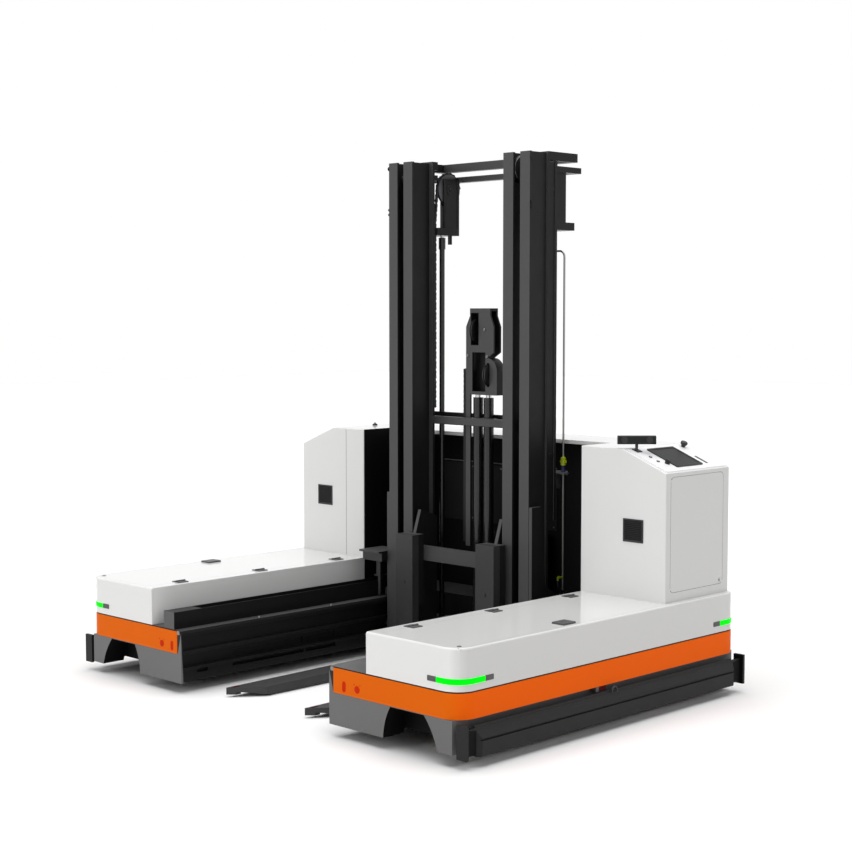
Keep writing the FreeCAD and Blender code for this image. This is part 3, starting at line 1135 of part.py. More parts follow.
# --- forks ------------------------------------------------------------------------------------
def fork_carriage():
    """Fork carriage: cheeks with rollers, cross-beams and hanger plates behind the shanks."""
    outline = [(CARRIAGE_PLATE_Y1 - 4, CARRIAGE_Z0), (CARRIAGE_PLATE_Y1 - 4, FORK_SHANK_Z1),
               (CARRIAGE_PLATE_Y1 + 34, CARRIAGE_Z1), (CARRIAGE_Y1, CARRIAGE_Z1 - 40), (CARRIAGE_Y1, CARRIAGE_Z0)]
    cheek = section_x(outline, CARRIAGE_X0, CARRIAGE_X1)
    plate = box(FORK_X0, FORK_X1, FORK_HEEL_Y + FORK_SHANK_T, CARRIAGE_PLATE_Y1, 300, FORK_SHANK_Z1)
    pins = [stub(CARRIAGE_X1 - 2, INNER_X0 + ROLLER_W, MAST_Y + INNER_DEPTH / 2, z) for z in CARRIAGE_ROLLER_Z]
    top = box(-1, CARRIAGE_X0 + 1, CARRIAGE_PLATE_Y1, CARRIAGE_PLATE_Y1 + 26, CROSS_Z0, CROSS_Z1)
    low = box(-1, CARRIAGE_X0 + 1, CARRIAGE_PLATE_Y1, CARRIAGE_PLATE_Y1 + 26, CARRIAGE_Z0, CARRIAGE_Z0 + 70)
    half = join(cheek, plate, *pins, top, low)
    return join(half, mirrored(half))


def carriage_rollers(z):
    """Pair of rollers that run in the inner uprights."""
    return both(roller(INNER_X0, ROLLER_W, MAST_Y + INNER_DEPTH / 2, z, INNER_DEPTH / 2 - FLANGE_T - PART_GAP))


def fork(x0):
    """L-shaped fork with a tapered blade; the nose keeps to the blade's -X edge."""
    width = FORK_X1 - FORK_X0
    tip, heel = FORK_TIP_Y, FORK_HEEL_Y + FORK_SHANK_T
    side = [(heel, FORK_Z0), (heel, FORK_SHANK_Z1), (FORK_HEEL_Y, FORK_SHANK_Z1), (FORK_HEEL_Y, FORK_Z1 + 30),
            (FORK_HEEL_Y - 30, FORK_Z1), (tip, FORK_TIP_Z1), (tip, FORK_TIP_Z0), (tip + 180, FORK_Z0)]
    blade = section_x(side, x0, x0 + width)
    taper = extrude([(x0 + width + 1, FORK_TAPER_Y, -10), (x0 + width, FORK_TAPER_Y, -10),
                     (x0 + FORK_NOSE, tip + 32, -10), (x0 + 4, tip - 1, -10), (x0 + width + 1, tip - 1, -10)],
                    (0, 0, 80))
    nose = extrude([(x0, tip + 60, 12), (x0, tip, 12), (x0 + FORK_NOSE, tip + 32, 12),
                    (x0 + FORK_NOSE, tip + 60, 12)], (0, 0, FORK_TIP_Z1 - 13))
    shape = join(blade.cut(taper), nose)
    bolt = rod(9, (x0 + width / 2, FORK_HEEL_Y, 422), (0, -1, 0), 5)
    return join(shape, bolt)


# --- assembly ---------------------------------------------------------------------------------
def build():
    """All nodes of the truck as {name: shape or list of solids}."""
    nodes = {}
    for name, maker in (("leg_lid", leg_lid), ("bumper", bumper)):
        right = maker()
        nodes[f"{name}_right"] = right
        nodes[f"{name}_left"] = mirrored(right)
    nodes["chassis_frame"] = chassis_frame()
    nodes["reach_rails"] = both(reach_rail())
    nodes["side_bands"] = both(side_band())
    nodes["lower_skirts"] = both(skirt())
    nodes["leg_covers"] = both(leg_cover())
    nodes["lid_hinges"] = lid_hinges()
    nodes["cabinet_right"] = cabinet_right()
    nodes["cabinet_left"] = mirrored(cabinet_shell())
    nodes["cabinet_vents"] = both(vent_grille())
    nodes["cabinet_door"] = cabinet_door()
    nodes["door_latch"] = door_latch()
    nodes["console_panel"] = console_panel()
    nodes["touch_screen"] = touch_screen()
    nodes["emergency_stop"] = emergency_stop()
    nodes["selector_knob"] = selector_knob()
    nodes["start_button"] = push_button(START_U)
    nodes["reset_button"] = push_button(RESET_U)
    nodes["scanner_stalk"] = scanner_stalk()
    nodes["scanner_bar"] = scanner_bar()
    nodes["rear_housing"] = rear_housing()
    nodes["bay_liners"] = bay_liners()
    nodes["pump_unit"] = pump_unit()
    nodes["controller_box"] = controller_box()
    nodes["battery_pack"] = battery_pack()
    nodes["chain_trough"] = chain_trough()
    nodes.update(corner_lights())
    for end, y, driven in (("front", WHEEL_FRONT_Y, False), ("rear", WHEEL_REAR_Y, True)):
        for side, x in (("right", WHEEL_X), ("left", -WHEEL_X)):
            nodes[f"steer_unit_{end}_{side}"] = steer_unit(x, y, driven)
            nodes[f"wheel_{end}_{side}"] = wheel(x, y)
    nodes["reach_frame"] = reach_frame()
    nodes["outer_mast"] = outer_mast()
    nodes["lift_cylinders"] = lift_cylinders()
    nodes["hydraulic_line"] = hydraulic_line()
    nodes["inner_mast"] = inner_mast()
    nodes.update(mast_rollers())
    nodes["reach_rollers_front"] = reach_rollers(REACH_ROLLER_Y[0])
    nodes["reach_rollers_rear"] = reach_rollers(REACH_ROLLER_Y[1])
    nodes["carriage_rollers_lower"] = carriage_rollers(CARRIAGE_ROLLER_Z[0])
    nodes["carriage_rollers_upper"] = carriage_rollers(CARRIAGE_ROLLER_Z[1])
    nodes["lift_rods"] = lift_rods()
    nodes["side_sheaves"] = both(sheave(LIFT_X, SHEAVE_Y, SHEAVE_Z, SHEAVE_R))
    nodes["jack_barrels"] = jack_barrels()
    nodes["jack_rods"] = jack_rods()
    nodes["jack_head"] = jack_head()
    nodes["upper_jack_sheave"] = sheave(UPPER_SHEAVE_X, JACK_Y, UPPER_SHEAVE_Z, UPPER_SHEAVE_R)
    nodes["lower_jack_sheave"] = sheave(LOWER_SHEAVE_X, JACK_Y, LOWER_SHEAVE_Z, UPPER_SHEAVE_R)
    nodes["fork_carriage"] = fork_carriage()
    nodes["fork_right"] = fork(FORK_X0)
    nodes["fork_left"] = fork(-FORK_X1)
    return nodes


def main():
    """Write every node as a STEP file."""
    os.makedirs("parts", exist_ok=True)
    for name, shape in build().items():
        pieces = solids(shape)
        whole = Part.Compound(pieces) if len(pieces) > 1 else pieces[0]
        whole.exportStep(f"parts/{name}.step")


main()
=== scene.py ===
"""Looks of a four-way autonomous fork truck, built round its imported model.

Lengths are in millimetres in the truck's own frame: +Z up, the forks point to -Y, the console leg is at +X.
"""
from __future__ import annotations

import json
import logging
import math
from collections.abc import Callable, Iterable, Sequence
from dataclasses import dataclass, field
from enum import Enum

import bmesh
import bpy
from mathutils import Matrix, Vector

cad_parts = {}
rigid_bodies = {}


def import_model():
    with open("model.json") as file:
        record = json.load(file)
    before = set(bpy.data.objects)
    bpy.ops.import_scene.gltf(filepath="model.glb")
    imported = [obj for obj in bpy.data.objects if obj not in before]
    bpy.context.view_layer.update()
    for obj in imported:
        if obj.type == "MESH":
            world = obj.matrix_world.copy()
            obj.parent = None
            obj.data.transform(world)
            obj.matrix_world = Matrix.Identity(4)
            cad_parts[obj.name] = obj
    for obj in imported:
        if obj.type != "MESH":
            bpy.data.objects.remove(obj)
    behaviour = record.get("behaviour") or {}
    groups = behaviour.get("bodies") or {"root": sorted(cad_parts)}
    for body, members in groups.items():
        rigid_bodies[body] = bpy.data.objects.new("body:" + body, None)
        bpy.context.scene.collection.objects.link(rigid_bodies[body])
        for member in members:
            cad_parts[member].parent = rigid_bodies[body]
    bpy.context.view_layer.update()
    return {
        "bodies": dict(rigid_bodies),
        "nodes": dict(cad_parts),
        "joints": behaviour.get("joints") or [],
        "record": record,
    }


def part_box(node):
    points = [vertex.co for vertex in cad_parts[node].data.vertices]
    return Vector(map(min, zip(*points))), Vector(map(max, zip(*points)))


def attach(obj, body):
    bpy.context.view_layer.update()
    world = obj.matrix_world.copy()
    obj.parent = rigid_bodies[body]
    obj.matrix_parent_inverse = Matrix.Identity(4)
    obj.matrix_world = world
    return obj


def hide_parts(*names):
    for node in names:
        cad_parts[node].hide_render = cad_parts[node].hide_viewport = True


LOG = logging.getLogger("fork_truck")
MM = 0.001
BOTH_SIDES = (1, -1)
Point = Sequence[float]


# --- finishes -----------------------------------------------------------------------------------
def srgb(code: str) -> tuple[float, float, float, float]:
    """Turn a colour from sRGB to linear.

    Args:
        code: Six hex digits with a leading hash.

    Returns:
        Red, green, blue and alpha in linear light.
    """
    channels = [int(code[i:i + 2], 16) / 255 for i in (1, 3, 5)]
    linear = [c / 12.92 if c <= 0.04045 else ((c + 0.055) / 1.055) ** 2.4 for c in channels]
    return (*linear, 1.0)


def add_node(tree: bpy.types.NodeTree, kind: str, inputs: dict | None = None, **settings) -> bpy.types.Node:
    """Add a shader node.

    Args:
        tree: The node tree.
        kind: Blender's node type.
        inputs: Socket name or number to a value, or to an output socket that is linked to it.
        **settings: Attributes of the node.

    Returns:
        The new node.
    """
    node = tree.nodes.new(kind)
    for name, value in settings.items():
        setattr(node, name, value)
    for name, value in (inputs or {}).items():
        if isinstance(value, bpy.types.NodeSocket):
            tree.links.new(value, node.inputs[name])
        else:
            node.inputs[name].default_value = value
    return node


class Surface(Enum):
    """How a surface was made, which sets the form of its relief."""

    SPRAYED = "sprayed"
    POWDER = "powder coated"
    MOULDED = "moulded"
    BRUSHED = "drawn or ground along its length"
    TURNED = "turned"
    CAST = "cast or bead blasted"


STRETCH = {
    Surface.SPRAYED: (1.0, 1.0, 1.0),
    Surface.POWDER: (1.0, 1.0, 1.0),
    Surface.MOULDED: (1.0, 1.0, 1.0),
    Surface.BRUSHED: (1.0, 1.0, 0.04),
    Surface.TURNED: (1.0, 0.08, 0.08),
    Surface.CAST: (1.0, 1.0, 1.0),
}


@dataclass(frozen=True)
class Finish:
    """A real finish, with the values that make it.

    Attributes:
        name: Name of the material.
        colour: sRGB hex of the clean surface.
        surface: How it was made.
        roughness: Middle roughness.
        grain_mm: Size of one grain of the relief.
        relief_mm: Height of the relief.
        shade: How much darker the cloudy patches are, as a share.
        patch_mm: Size of those patches.
        metallic: 1 for bare metal.
        ior: Index of refraction, left at the default on metal.
        coat: Weight of a clear coat.
        glow: Strength of its own light.
        flank: Painted shade, a colour on the faces turned to the truck's sides that stands in for the light
            they get, or empty where it is the same all round.
    """

    name: str
    colour: str
    surface: Surface
    roughness: float
    grain_mm: float = 1.0
    relief_mm: float = 0.02
    shade: float = 0.06
    patch_mm: float = 220.0
    metallic: float = 0.0
    ior: float = 1.5
    coat: float = 0.0
    glow: float = 0.0
    flank: str = ""

    def material(self) -> bpy.types.Material:
        """Return the Blender material, made on first use."""
        known = bpy.data.materials.get(self.name)
        return known or self._build()

    def _build(self) -> bpy.types.Material:
        """Build the material's nodes.

        Returns:
            The material.
        """
        made = bpy.data.materials.new(self.name)
        made.use_nodes = True
        tree = made.node_tree
        tree.nodes.clear()
        place = add_node(tree, "ShaderNodeTexCoord").outputs["Object"]
        stretched = add_node(tree, "ShaderNodeMapping", {"Vector": place, "Scale": STRETCH[self.surface]})
        grain = add_node(tree, "ShaderNodeTexNoise", {
            "Vector": stretched.outputs[0], "Scale": 1 / (self.grain_mm * MM), "Detail": 3.0})
        patches = add_node(tree, "ShaderNodeTexNoise", {
            "Vector": place, "Scale": 1 / (self.patch_mm * MM), "Detail": 4.0, "Roughness": 0.6})
        clean = srgb(self.colour)
        dull = tuple(c * (1 - self.shade) for c in clean[:3]) + (1.0,)
        tint = add_node(tree, "ShaderNodeMix", {
            "Factor": patches.outputs[0], 6: clean, 7: dull}, data_type="RGBA")
        if self.flank:
            tint = self._flanked(tree, tint)
        gloss = add_node(tree, "ShaderNodeMapRange", {
            "Value": patches.outputs[0], "To Min": self.roughness * 0.85,
            "To Max": min(1.0, self.roughness * 1.2)})
        bump = add_node(tree, "ShaderNodeBump", {
            "Height": grain.outputs[0], "Distance": self.relief_mm * MM, "Strength": 1.0})
        shader = add_node(tree, "ShaderNodeBsdfPrincipled", {
            "Base Color": tint.outputs[2], "Roughness": gloss.outputs[0], "Metallic": self.metallic,
            "Coat Weight": self.coat, "Normal": bump.outputs[0]})
        if not self.metallic:
            shader.inputs["IOR"].default_value = self.ior
        if self.glow:
            shader.inputs["Emission Color"].default_value = clean
            shader.inputs["Emission Strength"].default_value = self.glow
        add_node(tree, "ShaderNodeOutputMaterial", {"Surface": shader.outputs[0]})
        return made

    def _flanked(self, tree: bpy.types.NodeTree, tint: bpy.types.Node) -> bpy.types.Node:
        """Blend the flank colour in on faces that look sideways, as painted shade for the light the sides
        get.

        Args:
            tree: The material's nodes.
            tint: The node that gives the colour all round.

        Returns:
            The node that gives the blended colour.
        """
        facing = add_node(tree, "ShaderNodeTexCoord").outputs["Normal"]
        parts = add_node(tree, "ShaderNodeSeparateXYZ", {0: facing})
        sideways = add_node(tree, "ShaderNodeMath", {0: parts.outputs[0]}, operation="ABSOLUTE")
        share = add_node(tree, "ShaderNodeMapRange", {"Value": sideways.outputs[0], "From Min": 0.35,
                                                      "From Max": 0.95})
        return add_node(tree, "ShaderNodeMix", {
            "Factor": share.outputs[0], 6: tint.outputs[2], 7: srgb(self.flank)}, data_type="RGBA")


# Grains that are finer in reality are drawn 0.7 to 6 mm wide, so that they show at the truck's size.
# Polyester enamel sprayed on sheet steel: a hard clear gloss with a faint orange peel.
# The side panels are painted a shade greyer than the fronts and lids: painted shade for the dimmer light on
# the sides.
WHITE_ENAMEL = Finish("white_polyester_enamel", "#E9E9E8", Surface.SPRAYED, 0.12, 3.0, 0.004, 0.02, 400,
                      ior=1.36, coat=0.15, flank="#CFCFCE")
# The orange's flank colour is painted shade too, a deeper red for the light on the sides.
ORANGE_ENAMEL = Finish("orange_polyester_enamel", "#E6680D", Surface.SPRAYED, 0.35, 3.0, 0.004, 0.04, 300,
                       ior=1.1, flank="#F0620C")
# The same enamel painted lighter on the covers' bay sides, with no side shade: painted light on faces that
# the lamps barely reach.
BAY_SIDE_LIT_ENAMEL = Finish("white_enamel_painted_light_bay_side", "#F2F2F1", Surface.SPRAYED, 0.12, 3.0, 0.004, 0.02, 400,
                         ior=1.36)
# Epoxy powder coat: satin, with a fine pebble that spreads highlights.
GREY_POWDER = Finish("grey_epoxy_powder_coat", "#646464", Surface.POWDER, 0.5, 1.6, 0.03, 0.06)
BLACK_POWDER = Finish("black_epoxy_powder_coat", "#272727", Surface.POWDER, 0.5, 1.6, 0.03, 0.12, ior=1.2)
# Painted shade: near-black for the bay, the wheel arches and the bumpers' end recesses, where shade falls.
BAY_SHADE_BLACK = Finish("bay_painted_shade_black", "#0A0A0A", Surface.POWDER, 0.6, 1.6, 0.03, 0.2, ior=1.2)
CONSOLE_POWDER = Finish("light_grey_console_powder_coat", "#F6F6F8", Surface.POWDER, 0.4, 1.6, 0.02, 0.03)
# Mast sections and rails are rolled steel under satin black paint, so they keep long soft streaks.
MAST_PAINT = Finish("satin_black_mast_paint", "#4C4C4C", Surface.BRUSHED, 0.38, 2.5, 0.02, 0.14, 160,
                    ior=1.35)
RAIL_PAINT = Finish("satin_black_rail_paint", "#121212", Surface.BRUSHED, 0.42, 2.0, 0.03, 0.3, 90, ior=1.3)
# Painted shade: the mast steel's side faces, channel insides and recesses, and the sheets and bolts among
# them, are near-black for the shade they sit in.
MAST_SHADE_STEEL = Finish("mast_painted_shade_steel", "#1D1D1D", Surface.BRUSHED, 0.5, 2.0, 0.02, 0.35, 120,
                       ior=1.25)
# Forged forks: thick black paint that pallets have rubbed, so it is dull and patchy.
FORK_PAINT = Finish("worn_black_fork_paint", "#2C2C2C", Surface.CAST, 0.48, 2.0, 0.05, 0.25, 60)
# Gloss paint on drawn tube: narrow bright lines down a black cylinder.
CYLINDER_PAINT = Finish("gloss_black_cylinder_paint", "#1B1B1B", Surface.SPRAYED, 0.22, 2.0, 0.01, 0.15, 120)
# Ground chrome on the rods: nearly a mirror.
HARD_CHROME = Finish("ground_hard_chrome", "#C9CACC", Surface.TURNED, 0.14, 0.8, 0.002, 0.05, 80,
                     metallic=1.0)
# Zinc plate on screws and the pipe: a grey, slightly cloudy shine.
ZINC_PLATE = Finish("zinc_plated_steel", "#8E8F8C", Surface.CAST, 0.34, 0.8, 0.01, 0.2, 30, metallic=1.0)
# Oiled steel on rollers, sheaves and chains: dark, with a soft sheen.
ROLLER_STEEL = Finish("oiled_turned_steel", "#5C5C5E", Surface.TURNED, 0.36, 0.7, 0.01, 0.2, 40, metallic=1.0)
CHAIN_STEEL = Finish("oiled_chain_steel", "#242424", Surface.CAST, 0.4, 1.0, 0.02, 0.3, 18, metallic=0.6)
# Bead-blasted aluminium: pale and even, without a clear reflection.
BEAD_BLASTED = Finish("bead_blasted_aluminium", "#9A9A9C", Surface.CAST, 0.5, 0.8, 0.02, 0.05, 90,
                      metallic=1.0)
# Glass-filled nylon and other plastic mouldings: even, dull, with a spark-eroded grain.
BLACK_NYLON = Finish("black_glass_filled_nylon", "#151515", Surface.MOULDED, 0.52, 0.9, 0.02, 0.1, 60)
GREY_NYLON = Finish("dark_grey_glass_filled_nylon", "#4B4B4B", Surface.MOULDED, 0.5, 0.9, 0.02, 0.08, 60)
BUTTON_CAP = Finish("light_grey_button_cap", "#C9C9CC", Surface.MOULDED, 0.4, 0.9, 0.01, 0.05, 20)
BATTERY_CASE = Finish("grey_polypropylene_case", "#3B3C3E", Surface.MOULDED, 0.5, 1.2, 0.03, 0.08)
FITTING_GREEN = Finish("yellow_green_coupling_body", "#A9B800", Surface.MOULDED, 0.35, 0.8, 0.01, 0.12, 12)
FITTING_BLUE = Finish("blue_coupling_collar", "#23265A", Surface.MOULDED, 0.4, 0.8, 0.01, 0.1, 12)
# Rubber and cast polyurethane: deep, even and dull.
BUMPER_RUBBER = Finish("moulded_epdm_bumper", "#292929", Surface.MOULDED, 0.5, 2.0, 0.03, 0.1, 90, ior=1.22)
HOSE_RUBBER = Finish("extruded_hose_rubber", "#121212", Surface.BRUSHED, 0.42, 1.5, 0.02, 0.15, 60)
TYRE = Finish("brown_cast_polyurethane", "#6B2F1A", Surface.MOULDED, 0.38, 2.0, 0.02, 0.12, 60)
# Painted shade: near-black for the door's gap, the seams and the slots, where shade falls.
SEAM_SHADOW = Finish("black_painted_seam_shade", "#0B0B0B", Surface.MOULDED, 0.7, 1.0, 0.01, 0.1, 20)
# Acrylic and glass: a smooth skin over a deep colour, with the lamps' own light behind the green.
LENS_RED = Finish("red_acrylic_sensor_lens", "#D02C02", Surface.MOULDED, 0.4, 3.0, 0.002, 0.1, 10, ior=1.12)
DARK_LENS = Finish("dark_red_sensor_window", "#450A12", Surface.MOULDED, 0.35, 3.0, 0.002, 0.1, 10, ior=1.15)
SCREEN_GLASS = Finish("black_display_glass", "#2E302F", Surface.SPRAYED, 0.3, 6.0, 0.001, 0.1, 40, ior=1.12)
GREEN_LAMP = Finish("green_acrylic_light_guide", "#00EE12", Surface.MOULDED, 0.35, 3.0, 0.002, 0.0, 20,
                    ior=1.1, glow=0.62)


# --- making pieces ------------------------------------------------------------------------------
@dataclass(frozen=True)
class Extent:
    """A node's box in millimetres."""

    x0: float
    y0: float
    z0: float
    x1: float
    y1: float
    z1: float

    @classmethod
    def of(cls, node: str) -> Extent:
        """Return the box of a node."""
        low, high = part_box(node)
        return cls(*(v / MM for v in (*low, *high)))


class Blank:
    """A mesh in the making, in millimetres."""

    def __init__(self) -> None:
        """Start with an empty mesh."""
        self.mesh = bmesh.new()

    def box(self, x0: float, x1: float, y0: float, y1: float, z0: float, z1: float) -> Blank:
        """Add a box.

        Args:
            x0: One end along X.
            x1: The other end along X.
            y0: One end along Y.
            y1: The other end along Y.
            z0: One end along Z.
            z1: The other end along Z.

        Returns:
            This blank.
        """
        centre = Vector(((x0 + x1) / 2, (y0 + y1) / 2, (z0 + z1) / 2))
        size = Matrix.Diagonal((abs(x1 - x0), abs(y1 - y0), abs(z1 - z0), 1))
        bmesh.ops.create_cube(self.mesh, size=1, matrix=Matrix.Translation(centre) @ size)
        return self

    def bar(self, start: Point, end: Point, radius: float, sides: int = 28) -> Blank:
        """Add a round bar between two points.

        Args:
            start: Centre of one end.
            end: Centre of the other end.
            radius: The bar's radius.
            sides: Steps round it.

        Returns:
            This blank.
        """
        a, b = Vector(start), Vector(end)
        turn = (b - a).to_track_quat("Z", "Y").to_matrix().to_4x4()
        bmesh.ops.create_cone(
            self.mesh, cap_ends=True, segments=sides, radius1=radius, radius2=radius, depth=(b - a).length,
            matrix=Matrix.Translation((a + b) / 2) @ turn)
        return self

    def prism(self, outline: Iterable[Point], along: Point) -> Blank:
        """Extrude a closed outline.

        Args:
            outline: Its points, in space.
            along: Direction and length of the extrusion.

        Returns:
            This blank.
        """
        base = [self.mesh.verts.new(p) for p in outline]
        shift = Vector(along)
        top = [self.mesh.verts.new(v.co + shift) for v in base]
        self.mesh.faces.new(base[::-1])
        self.mesh.faces.new(top)
        count = len(base)
        for i in range(count):
            j = (i + 1) % count
            self.mesh.faces.new((base[i], base[j], top[j], top[i]))
        return self

    def lathe(self, profile: Sequence[tuple[float, float]], centre: Point, axis: Point,
              sides: int = 40) -> Blank:
        """Revolve a closed profile.

        Args:
            profile: Radius and height pairs of a closed outline, or an open one whose ends have radius 0.
            centre: Where height 0 lies.
            axis: Direction of the heights.
            sides: Steps round the circle.

        Returns:
            This blank.
        """
        turn = Matrix.Translation(Vector(centre)) @ Vector(axis).to_track_quat("Z", "Y").to_matrix().to_4x4()
        rings = []
        for radius, height in profile:
            if radius < 1e-6:
                rings.append([self.mesh.verts.new(turn @ Vector((0, 0, height)))])
                continue
            ring = []
            for k in range(sides):
                angle = math.tau * k / sides
                local = Vector((radius * math.cos(angle), radius * math.sin(angle), height))
                ring.append(self.mesh.verts.new(turn @ local))
            rings.append(ring)
        closed = len(rings[0]) > 1 and len(rings[-1]) > 1
        pairs = list(zip(rings, rings[1:])) + ([(rings[-1], rings[0])] if closed else [])
        for low, high in pairs:
            for k in range(sides):
                n = (k + 1) % sides
                corners = [low[k % len(low)], low[n % len(low)], high[n % len(high)], high[k % len(high)]]
                face = list(dict.fromkeys(corners))
                if len(face) > 2:
                    self.mesh.faces.new(face)
        return self

    def hex_bolt(self, at: Point, axis: Point, across: float, height: float) -> Blank:
        """Add a hexagon head with its washer.

        Args:
            at: Where it stands on a face.
            axis: Direction away from the face.
            across: Width across flats.
            height: Height of the washer and head.

        Returns:
            This blank.
        """
        foot, up = Vector(at), Vector(axis).normalized()
        washer = across * 0.72
        self.bar(foot, foot + up * 1.5, washer, 24)
        self.bar(foot + up * 1.5, foot + up * height, across / math.sqrt(3), 6)
        return self

    def cap_screw(self, at: Point, axis: Point, radius: float, height: float) -> Blank:
        """Add a round cap screw with its socket."""
        profile = [(0, 0), (radius, 0), (radius, height * 0.85), (radius * 0.88, height),
                   (radius * 0.5, height), (radius * 0.45, height * 0.4), (0, height * 0.4)]
        return self.lathe(profile, at, axis, 24)

    def piece(self, name: str, finish: Finish, body: str, edge: float = 1.0, segments: int = 2,
              crease: float = 35.0) -> bpy.types.Object:
        """Finish the mesh as an object that rides on a body.

        Args:
            name: The piece's name.
            finish: Its finish.
            body: The body it moves with.
            edge: Width of its rounded edges, or 0 for none.
            segments: Steps across a rounded edge.
            crease: Edges sharper than this, in degrees, are rounded and shaded sharp.

        Returns:
            The object.
        """
        bmesh.ops.recalc_face_normals(self.mesh, faces=self.mesh.faces)
        limit = math.radians(crease)
        for face in self.mesh.faces:
            face.smooth = True
        for line in self.mesh.edges:
            line.smooth = line.calc_face_angle(math.pi) < limit
        bmesh.ops.scale(self.mesh, vec=(MM, MM, MM), verts=self.mesh.verts)
        data = bpy.data.meshes.new(name)
        self.mesh.to_mesh(data)
        self.mesh.free()
        made = bpy.data.objects.new(name, data)
        bpy.context.scene.collection.objects.link(made)
        made.data.materials.append(finish.material())
        if edge:
            round_edges(made, edge, segments, crease)
        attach(made, body)
        LOG.info("piece %s on %s", name, body)
        return made


def round_edges(made: bpy.types.Object, edge: float, segments: int = 2, crease: float = 35.0) -> None:
    """Give an object rounded edges.

    Args:
        made: The object.
        edge: Width in millimetres.
        segments: Steps across the edge.
        crease: Sharpest angle, in degrees, that stays as it is.
    """
    bevel = made.modifiers.new("rounded_edges", "BEVEL")
    bevel.width = edge * MM
    bevel.segments = segments
    bevel.limit_method = "ANGLE"
    bevel.angle_limit = math.radians(crease)
    bevel.harden_normals = True
    bevel.use_clamp_overlap = True
    bevel.miter_outer = "MITER_ARC"


def dress(nodes: dict[str, bpy.types.Object], name: str, finish: Finish,
          edge: float = 0.0) -> bpy.types.Object:
    """Give a CAD node its finish.

    Args:
        nodes: The frame's nodes.
        name: The node.
        finish: Its finish.
        edge: Width of rounded edges in millimetres, or 0 to leave them.

    Returns:
        The node's object.
    """
    node = nodes[name]
    node.data.materials.clear()
    node.data.materials.append(finish.material())
    if edge:
        weld = node.modifiers.new("weld", "WELD")
        weld.merge_threshold = 0.01 * MM
        round_edges(node, edge)
    LOG.info("node %s in %s", name, finish.name)
    return node


def paint(node: bpy.types.Object, finish: Finish, where: Callable[[Vector, Vector], bool]) -> None:
    """Give some faces of a node another finish.

    Args:
        node: The node's object.
        finish: The other finish.
        where: Whether a face takes it, from its centre in millimetres and its normal.
    """
    node.data.materials.append(finish.material())
    index = len(node.data.materials) - 1
    for face in node.data.polygons:
        if where(face.center / MM, face.normal):
            face.material_index = index


def span(side: int, near: float, far: float) -> tuple[float, float]:
    """Range of X on one side, low end first."""
    low, high = sorted((side * near, side * far))
    return low, high


def side_name(side: int) -> str:
    """The side's word."""
    return "right" if side > 0 else "left"


